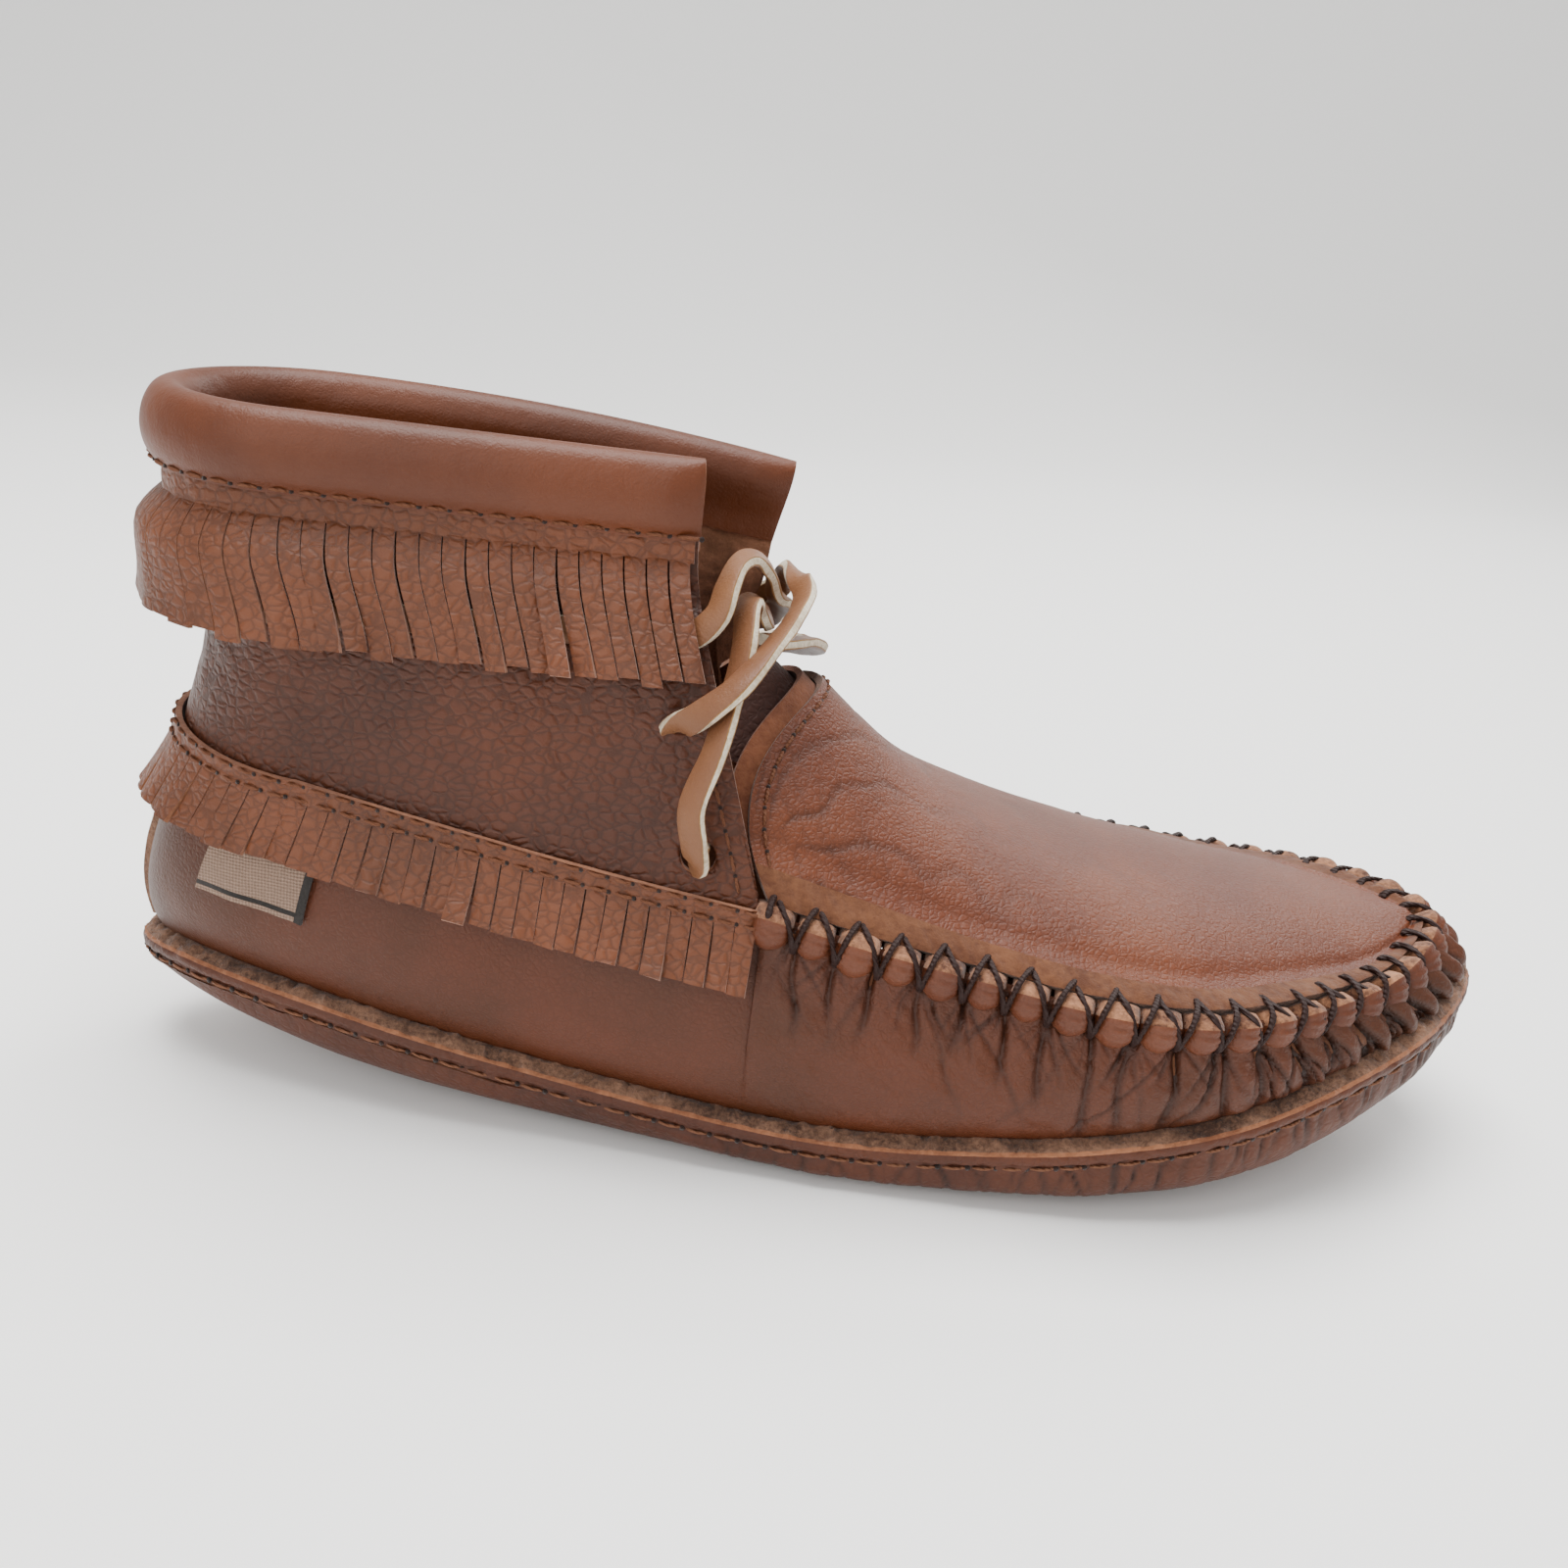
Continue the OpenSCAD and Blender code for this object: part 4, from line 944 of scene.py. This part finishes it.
cuff_finish = grain_leather("pebbled_cuff_hide", "#4d2612", "#3d1d0e", 2.6, 0.22, 0.48, 1.5, 0.62, 5)
inner_suede = raw_suede("cuff_flesh_side", "#8a5f48", "#664431", 1.1, 0.45)
cuff_t = np.linspace(1, -1, 300)
cuff_q = np.linspace(0, 4.2, 96)
grid = cuff_grid(cuff_t, cuff_q)
normal = grid_normals(grid)
relief = 0.45 * ripple(cuff_t[:, None] * 130, cuff_q[None, :] * 16, 26, 61)
relief += 0.16 * ripple(cuff_t[:, None] * 130, cuff_q[None, :] * 16, 6, 62)
relief *= np.clip((cuff_q - 1.3) / 0.5, 0, 1)[None, :] * np.clip((3.9 - cuff_q) / 0.5, 0, 1)[None, :]
points, faces, side = shell(grid + normal * (half_t + relief)[..., None],
                            grid - normal * (half_t - relief)[..., None])
cuff = build("ankle_cuff", points, faces, [cuff_finish, inner_suede, cut_edge], side, 60)
punch_points, punch_faces = [], []
hole_sides = 32
for x, y, z in lace_holes:
    base = len(punch_points)
    for depth in (-5, 5):
        punch_points += [(x + hole_d / 2 * math.cos(a), y + depth, z + hole_d / 2 * math.sin(a))
                         for a in np.arange(hole_sides) * 2 * math.pi / hole_sides]
    far = base + hole_sides
    punch_faces += [[base + i, base + (i + 1) % hole_sides, far + (i + 1) % hole_sides, far + i]
                    for i in range(hole_sides)]
    punch_faces += [[base + i for i in range(hole_sides)][::-1], [far + i for i in range(hole_sides)]]
punches = build("punches", *turned_out(np.array(punch_points), punch_faces),
                [cuff_finish, inner_suede, cut_edge], [2] * len(punch_faces))
punch = cuff.modifiers.new("punch", "BOOLEAN")
punch.object = punches
punch.operation = "DIFFERENCE"
punch.solver = "FAST"
bpy.context.view_layer.update()
punched = bpy.data.meshes.new_from_object(cuff.evaluated_get(bpy.context.evaluated_depsgraph_get()))
cuff.modifiers.clear()
cuff.data = punched
bpy.data.objects.remove(punches)
fit(cuff, "cuff_leather", "ankle_cuff")


# Collar: soft smooth hide rolled over a foam cord, bulging outside and pinched in where the
# stitch line catches it. It thins out towards both front ends.
collar_h = 14


def roll_grid(t, shape):
    base = cuff_grid(t, [4, 5])
    rise = unit(base[:, 1] - base[:, 0])
    along = unit(np.gradient(base[:, 0], axis=0))
    out_dir = unit(np.cross(along, rise))
    return base[:, 0], out_dir, rise, np.array(shape, float)


collar_finish = grain_leather("smooth_collar_hide", "#572a11", "#4a220c", 0.9, 0.025, 0.46, 1.0, 0.97)
collar_t = np.linspace(1, -1, 420)
base, roll_out, roll_up, shape = roll_grid(collar_t, [
    (-1.9, -3), (-2.1, 1.5), (-3.0, 6), (-3.2, 9.4), (-1.9, 12.4), (0.3, 13.6), (2.7, 12.7),
    (4.4, 9.8), (5.0, 6.2), (4.5, 3), (3.3, 0.7), (3.0, -0.2)])
end_share = np.clip((1 - np.abs(collar_t)) / 0.05, 0, 1) ** 0.6
levels = []
for out_mm, rise_mm in shape:
    taper = 0.45 + 0.55 * end_share
    levels.append(base + roll_out * (out_mm * taper + (0.6 if out_mm > 0 else 0) * (1 - taper))[:, None]
                  + roll_up * rise_mm * collar_h / 14)
grid = loft(levels, np.linspace(0, 11, 70))
normal = grid_normals(grid)
collar_mm = np.concatenate([[0], np.cumsum(np.linalg.norm(np.diff(base, axis=0), axis=1))])
row = np.linspace(0, 11, 70)[None, :]
relief = 0.3 * ripple(collar_mm[:, None], row * 4, 30, 71)
gather = 0.5 + 0.5 * np.cos(2 * math.pi * collar_mm[:, None] / 5.6)
relief = relief - 0.45 * gather * np.exp(-((row - 10.2) / 0.7) ** 2)
relief += 0.14 * ripple(collar_mm[:, None], row * 5, 3.5, 72) * np.exp(-((row - 9.5) / 1.6) ** 2)
points, faces, side = shell(grid + normal * (0.7 + relief)[..., None], grid - normal * 0.7)
points, turned = turned_out(points, faces)
if turned is not faces:
    faces = turned
    side = [{0: 1, 1: 0}.get(s, s) for s in side]
collar = build("collar_band", points, faces, [collar_finish, collar_finish, cut_edge], side, 60)
fit(collar, "collar_leather", "collar_band")

core_t = np.linspace(0.97, -0.97, 120)
base, core_out, core_up, shape = roll_grid(core_t, [
    (1.9, 4.4), (-1.3, 4.4), (-1.9, 8.5), (-1.2, 10.9), (0.3, 11.8), (2.0, 11), (2.9, 8.5)])
core_rings = np.stack([base + core_out * a + core_up * b for a, b in shape], axis=1)
grey_foam = raw_suede("grey_foam", "#b7aa94", "#9b8e79")
faces = strand_faces(*core_rings.shape[:2])
core = build("collar_core", *turned_out(core_rings.reshape(-1, 3), faces), [grey_foam])
fit(core, "pad_foam", "collar_core")

stitch_t = np.linspace(0.985, -0.985, 240)
base, stitch_out, stitch_up, _ = roll_grid(stitch_t, [(0, 0)])
collar_stitch = stitch_element("collar_stitch", 3.9, 0.42, 0.5)
collar_line = base + stitch_out * 4.05 + stitch_up * 0.5
collar_stitches = lay_row("collar_thread", [collar_line], [unit(stitch_out + 0.2 * stitch_up)],
                          collar_stitch, 5.6, [brown_thread, hole_shadow])
fit(collar_stitches, "dark_thread", "collar_thread")


# Facings: a strip of suede backs each front edge of the cuff, held by one row of stitches.
for name, sign in (("lateral_facing", -1), ("medial_facing", 1)):
    rows = np.linspace(1.1, 3.3, 40)
    grid = np.stack([off_cuff(sign * f, rows, -half_t - 1.05)
                     for f in (0.995, 0.985, 0.975, 0.965, 0.955, 0.945)])
    normal = grid_normals(grid)
    points, faces, side = shell(grid + normal * 0.6, grid - normal * 0.6)
    facing = build(name, *turned_out(points, faces), [inner_suede])
    fit(facing, "lining_suede", name)
lines, dirs = [], []
for sign in (-1, 1):
    rows = np.linspace(1.12, 1.73, 24)
    lines.append(off_cuff(sign * 0.965, rows, half_t + 0.1))
    dirs.append(unit(off_cuff(sign * 0.965, rows, half_t + 1.1) - lines[-1]))
facing_stitches = lay_row("facing_thread", lines, dirs, short_stitch, 4.1, [brown_thread, hole_shadow])
fit(facing_stitches, "dark_thread", "facing_thread")


# Fringes: a collar fringe under the roll and a second one over the top of the wall. Each is
# one strip of the same hide, cut with a knife into narrow tails that stop short of the seam.
fringe_cuts = [-0.99, -0.675, -0.35, -0.175, 0, 0.175, 0.35, 0.675, 0.99]
collar_cut = 18.5
collar_pitch = 4.7
lower_cut = 13
lower_pitch = 4
header_mm = 6.5
fringe_t = 0.55
lace_room = 2.9
fringe_finish = grain_leather("pebbled_fringe_hide", "#663820", "#522c17", 2.5, 0.2, 0.48, 1.4, 0.68, 4)


def collar_drop(t, mm, d):
    return off_cuff(np.asarray(t, float), 4 - mm / 13.3, d)


def collar_hang(t, f, lift):
    """A tail at share f of its length, standing out over the lace and at the heel."""
    t = np.asarray(t, float)
    along = off_cuff(t, 3.4, 1.0) - off_cuff(t, 3.4, 0)
    flat_out = unit(along * np.array([1, 1, 0]))
    low = off_cuff(t, 4 - (header_mm - 0.2 + f * (collar_cut + 0.5)) / 13.3, 0)
    heel = np.maximum(0, 1 - np.abs(t) / 0.5)
    out_mm = lace_room * min(1, f / 0.38) + 0.45 * heel * f * collar_cut + lift * f * f
    high = 0.2 * heel * f * collar_cut + 0.25 * lift * f * f
    return low + along * (half_t + 0.9 + 0.2 * min(1, f * 4)) + flat_out * out_mm[:, None] + up_mm(high)


def lower_point(u, mm, d):
    return off_wall(np.asarray(u, float), 1 - mm / 48, cuff_off + half_t + d)


def lower_hang(t, f, lift):
    return lower_point(-4 * np.asarray(t, float), 4.8 + f * (lower_cut + 0.7), 1.3 + 1.8 * f + lift * f * f)


def header(name, grid, seed):
    normal = grid_normals(grid)
    n, m = grid.shape[:2]
    relief = 0.12 * ripple(np.arange(n)[:, None] * 1.0, np.arange(m)[None, :] * 1.0, 5, seed)
    points, faces, side = shell(grid + normal * (fringe_t + relief)[..., None], grid - normal * fringe_t)
    piece = build(name, points, faces, [fringe_finish, flesh, cut_edge], side)
    fit(piece, "fringe_leather", name)


header_t = np.linspace(0.995, -0.995, 260)
header("collar_fringe_header", np.stack([collar_drop(header_t, mm, half_t + 0.9)
                                         for mm in np.linspace(header_mm, -2.6, 10)], axis=1), 81)
header("lower_fringe_header", np.stack([lower_point(-4 * header_t, mm, 1.3)
                                        for mm in np.linspace(5, 0.2, 8)], axis=1), 82)


def tails(name, first, last, pitch, around, hang, longest, seed):
    """One group of tails: each hangs a little differently, and a few lift at the tip."""
    rng = np.random.default_rng(seed)
    count = max(1, round(abs(last - first) / 2 * around / pitch))
    step = (last - first) / count
    points, faces, sides = [], [], []
    for i in range(count):
        gap = step * rng.uniform(0.02, 0.045)
        a, b = first + i * step + gap, first + (i + 1) * step - gap
        lean = step * rng.uniform(-0.07, 0.07)
        full = 1 + rng.uniform(-0.035, 0.02)
        lift = rng.uniform(0, 0.5) + (rng.uniform(0.8, longest) if rng.random() < 0.22 else 0)
        twist = rng.uniform(-0.5, 0.5)
        curl = rng.uniform(-0.1, 0.35)
        columns = np.linspace(b, a, 5)
        grid = []
        for f in np.linspace(1, 0, 12):
            narrow = columns + lean * f - (columns - (a + b) / 2) * 0.02 * f
            line = hang(narrow, f * full, lift + twist * np.linspace(-1, 1, 5) * f)
            grid.append(line)
        grid = np.stack(grid, axis=1)
        normal = grid_normals(grid)
        dome = curl * (1 - np.linspace(-1, 1, 5) ** 2)[:, None] * np.linspace(1, 0, 12)[None, :]
        p, f, s = shell(grid + normal * (fringe_t + dome)[..., None],
                        grid - normal * (fringe_t - dome)[..., None])
        faces += [[len(points) + k for k in face] for face in f]
        points += p.tolist()
        sides += s
    return build(name, points, faces, [fringe_finish, flesh, cut_edge], sides)


for kind, pitch, around, hang, longest in (("collar", collar_pitch, 262, collar_hang, 2.6),
                                           ("lower", lower_pitch, 280, lower_hang, 1.6)):
    for group in range(8):
        name = f"{kind}_fringe_{group + 1}"
        a, b = fringe_cuts[group], fringe_cuts[group + 1]
        piece = tails(name, a, b, pitch, around, hang, longest, 100 + group + (50 if kind == "lower" else 0))
        middle = np.array([(a + b) / 2])
        top = (hang(middle, 0.0, np.array([0.0]))[0] + heel_shift) / 1000
        low_end = (hang(middle, 0.3, np.array([0.0]))[0] + heel_shift) / 1000
        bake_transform(piece)
        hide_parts(name)

seam_u = 4 * np.linspace(-0.985, 0.985, 260)
lines = [lower_point(seam_u, mm, 1.3 + fringe_t + 0.12) for mm in (0.9, 4.2)]
dirs = [unit(lower_point(seam_u, mm, 3) - lower_point(seam_u, mm, 1)) for mm in (0.9, 4.2)]
lower_stitches = lay_row("lower_thread", lines, dirs, short_stitch, 4.9, [brown_thread, hole_shadow])
fit(lower_stitches, "dark_thread", "lower_thread")


# Maker's tab: a plain woven ribbon, dull beige with dark selvedges, sewn in under the lower
# fringe near the heel, its front end folded under and painted black as the shadow in the fold.
ribbon, tree, shader = new_finish("woven_ribbon")
place = add_node(tree, "ShaderNodeTexCoord").outputs["Object"]
weave, warp = [add_node(tree, "ShaderNodeTexWave", {"Vector": place, "Scale": 480, "Distortion": 1.5},
                        bands_direction=way) for way in ("Z", "X")]
both = add_node(tree, "ShaderNodeMath", {0: weave.outputs["Fac"], 1: warp.outputs["Fac"]}, operation="ADD")
shade_of = add_node(tree, "ShaderNodeMapRange", {0: both.outputs[0], 1: 0, 2: 2})
tone = add_node(tree, "ShaderNodeMix", {0: shade_of.outputs[0], 6: linear("#6b5546"), 7: linear("#8f7564")},
                data_type="RGBA")
bump = add_node(tree, "ShaderNodeBump", {"Height": both.outputs[0], "Distance": 0.00015})
tree.links.new(tone.outputs[2], shader.inputs["Base Color"])
tree.links.new(bump.outputs[0], shader.inputs["Normal"])
shader.inputs["Roughness"].default_value = 0.85
black_selvedge_and_end_shade = raw_suede("black_selvedge_and_end_shade", "#2e2a28", "#1d1a18", 0.3, 0.1)
tab_long, tab_high = 44, 22
tab_u = np.linspace(1.02, 1.62, tab_long)
grid = off_wall(tab_u[:, None], np.linspace(0.36, 0.82, tab_high)[None, :], half_t + 0.75)
normal = grid_normals(grid)
relief = 0.15 * ripple(np.arange(tab_long)[:, None] * 0.6, np.arange(tab_high)[None, :] * 0.6, 9, 91)
relief = relief + 0.5 * np.exp(-((np.arange(tab_long)[:, None] - tab_long + 1) / 2.5) ** 2)
points, faces, side = shell(grid + normal * (0.3 + relief)[..., None],
                            grid - normal * (0.3 - relief)[..., None])
tab = build("label_tab", points, faces, [ribbon, ribbon, black_selvedge_and_end_shade], side)
# Two rows get the dark selvedge; the last columns, at the folded front end, get the same black as painted
# shadow.
selvedges_and_end_shade = [2 if s == 0 and (f[0] % tab_high in (1, 19) or f[0] // tab_high > 39) else s
           for f, s in zip(faces, side)]
tab.data.polygons.foreach_set("material_index", selvedges_and_end_shade)
fit(tab, "label_fabric", "label_tab")


# Lace: one flat thong of oiled hide about 67 cm long. It turns round the ankle under the
# collar fringe, crosses over the throat and drops through both pairs of holes, and its ends
# are tucked behind the crossing. Its faces are smooth tan, its cut edges pale with a white core.
lace_w = 5.0
lace_t = 2.2
lace_outer = [
    [110.3, -30.7, 105.2], [114.9, -31, 109.5], [116.5, -28, 114.5], [118, -24, 117.5],
    [120.5, -18.5, 118], [124, -12, 114.5], [126, -4, 108.5], [127.5, 5, 104.5], [128, 14, 102],
    [127.5, 24, 98.5], [126.3, 31.9, 94.6], [118.9, 36.9, 91.2], [111.5, 36.8, 90], [108.8, 33, 89],
    [109.3, 29.5, 85], [111.5, 31, 78], [114, 34, 71], [115.3, 38, 66.5], [116, 43.5, 67],
    [117, 46, 72], [119, 45.5, 79], [124, 42, 85], [129.5, 35, 88], [134, 25, 90.5], [136, 13, 94],
    [133.5, 0, 98], [129.5, -10, 100.5], [125, -17, 102]]
lace_inner = [
    [123.1, 31.7, 99.2], [128, 28.4, 102.3], [128.5, 22, 106], [129.5, 13, 109], [130.5, 3, 109.8],
    [131.5, -8, 109.3], [129, -21, 107.2], [124.5, -33, 104], [119.5, -39.5, 99], [113, -39.5, 93],
    [109, -35, 89.5], [108.7, -29.5, 86.5], [110.5, -29.5, 80], [113, -31.5, 73],
    [115.2, -35.5, 67.2], [115.5, -42.5, 66], [114.5, -45.5, 71], [113.5, -45, 78],
    [116.5, -42.5, 87], [119, -36, 96.5], [120.5, -30.5, 104.5], [120.5, -24, 110.5],
    [122.5, -17, 108.5], [124.5, -11.5, 105]]
back_t = 0.92 - 1.83 * np.arange(25) / 24
lace_back = off_cuff(back_t, 2.45, half_t + 0.7 + lace_t / 2)
route = np.concatenate([np.array(lace_inner)[::-1], lace_back, np.array(lace_outer)])
path = on_path(route, np.linspace(0, len(route) - 1, 5 * len(route)))
ahead = unit(np.gradient(path, axis=0))
heart = np.stack([np.clip(path[:, 0], 38, 95), 1 + 0 * path[:, 0],
                  path[:, 2] - np.maximum(0, path[:, 0] - 95) * 0.8], axis=-1)
lean = path - heart
lace_out = unit(lean - ahead * np.sum(lean * ahead, axis=1, keepdims=True))
lace_wide = np.cross(lace_out, ahead)
free_share = (np.clip((path[:, 0] - 111) / 4, 0, 1) * np.clip((20 - path[:, 1]) / 12, 0, 1))[:, None]
towards_side = np.array([-0.05, -0.94, 0.34])
leaning = unit(np.cross(towards_side, ahead))
upward = leaning @ np.array([-0.7, 0, 0.7])
leaning *= np.where(upward < 0, -1, 1)[:, None]
free_share *= np.clip(np.abs(upward) / 0.6, 0, 1)[:, None]
lace_out = lace_out * (1 - free_share) + unit(0.7 * towards_side + 0.7 * leaning) * free_share
lace_out = np.stack([np.convolve(np.pad(c, 6, mode="edge"), np.ones(13) / 13, "valid")
                     for c in lace_out.T], axis=1)
lace_out = unit(lace_out - ahead * np.sum(lace_out * ahead, axis=1, keepdims=True))
lace_wide = np.cross(lace_out, ahead)
section = [(1.04, -2.15), (1.1, 0), (1.04, 2.15), (0.86, 2.44), (0.6, 2.5), (-0.6, 2.5), (-0.86, 2.44),
           (-1.04, 2.15), (-1.1, 0), (-1.04, -2.15), (-0.86, -2.44), (-0.6, -2.5), (0.6, -2.5), (0.86, -2.44)]
wear = np.cumsum(np.linalg.norm(np.gradient(path, axis=0), axis=1))
thick = 1 + 0.06 * np.sin(wear / 3.1) + 0.05 * np.sin(wear / 1.3 + 1)
rings = np.stack([path + lace_out * (a * lace_t / 2.2 * thick)[:, None]
                  + lace_wide * (b * lace_w / 5 * (1 + 0.03 * np.sin(wear / 2.3 + b)))[:, None]
                  for a, b in section], axis=1)
faces = strand_faces(*rings.shape[:2])
kinds = [{4: 1, 11: 1, 3: 2, 5: 2, 10: 2, 12: 2}.get(f[0] % len(section), 0) for f in faces[:-2]] + [1, 1]
lace_face = grain_leather("oiled_lace_face", "#785135", "#67422b", 0.8, 0.03, 0.45, 1.0, 0.96)
lace_core = raw_suede("white_lace_core", "#d8cdb8", "#a8957a", 0.5, 0.4)
lace_rim = raw_suede("tan_lace_rim", "#96703f", "#6f4c28", 0.5, 0.2)
lace = build("lace", *turned_out(rings.reshape(-1, 3), faces), [lace_face, lace_core, lace_rim], kinds)
fit(lace, "lace_leather", "lace")

for spare in (long_stitch, short_stitch, collar_stitch, lobe):
    bpy.data.objects.remove(spare)

low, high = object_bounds()
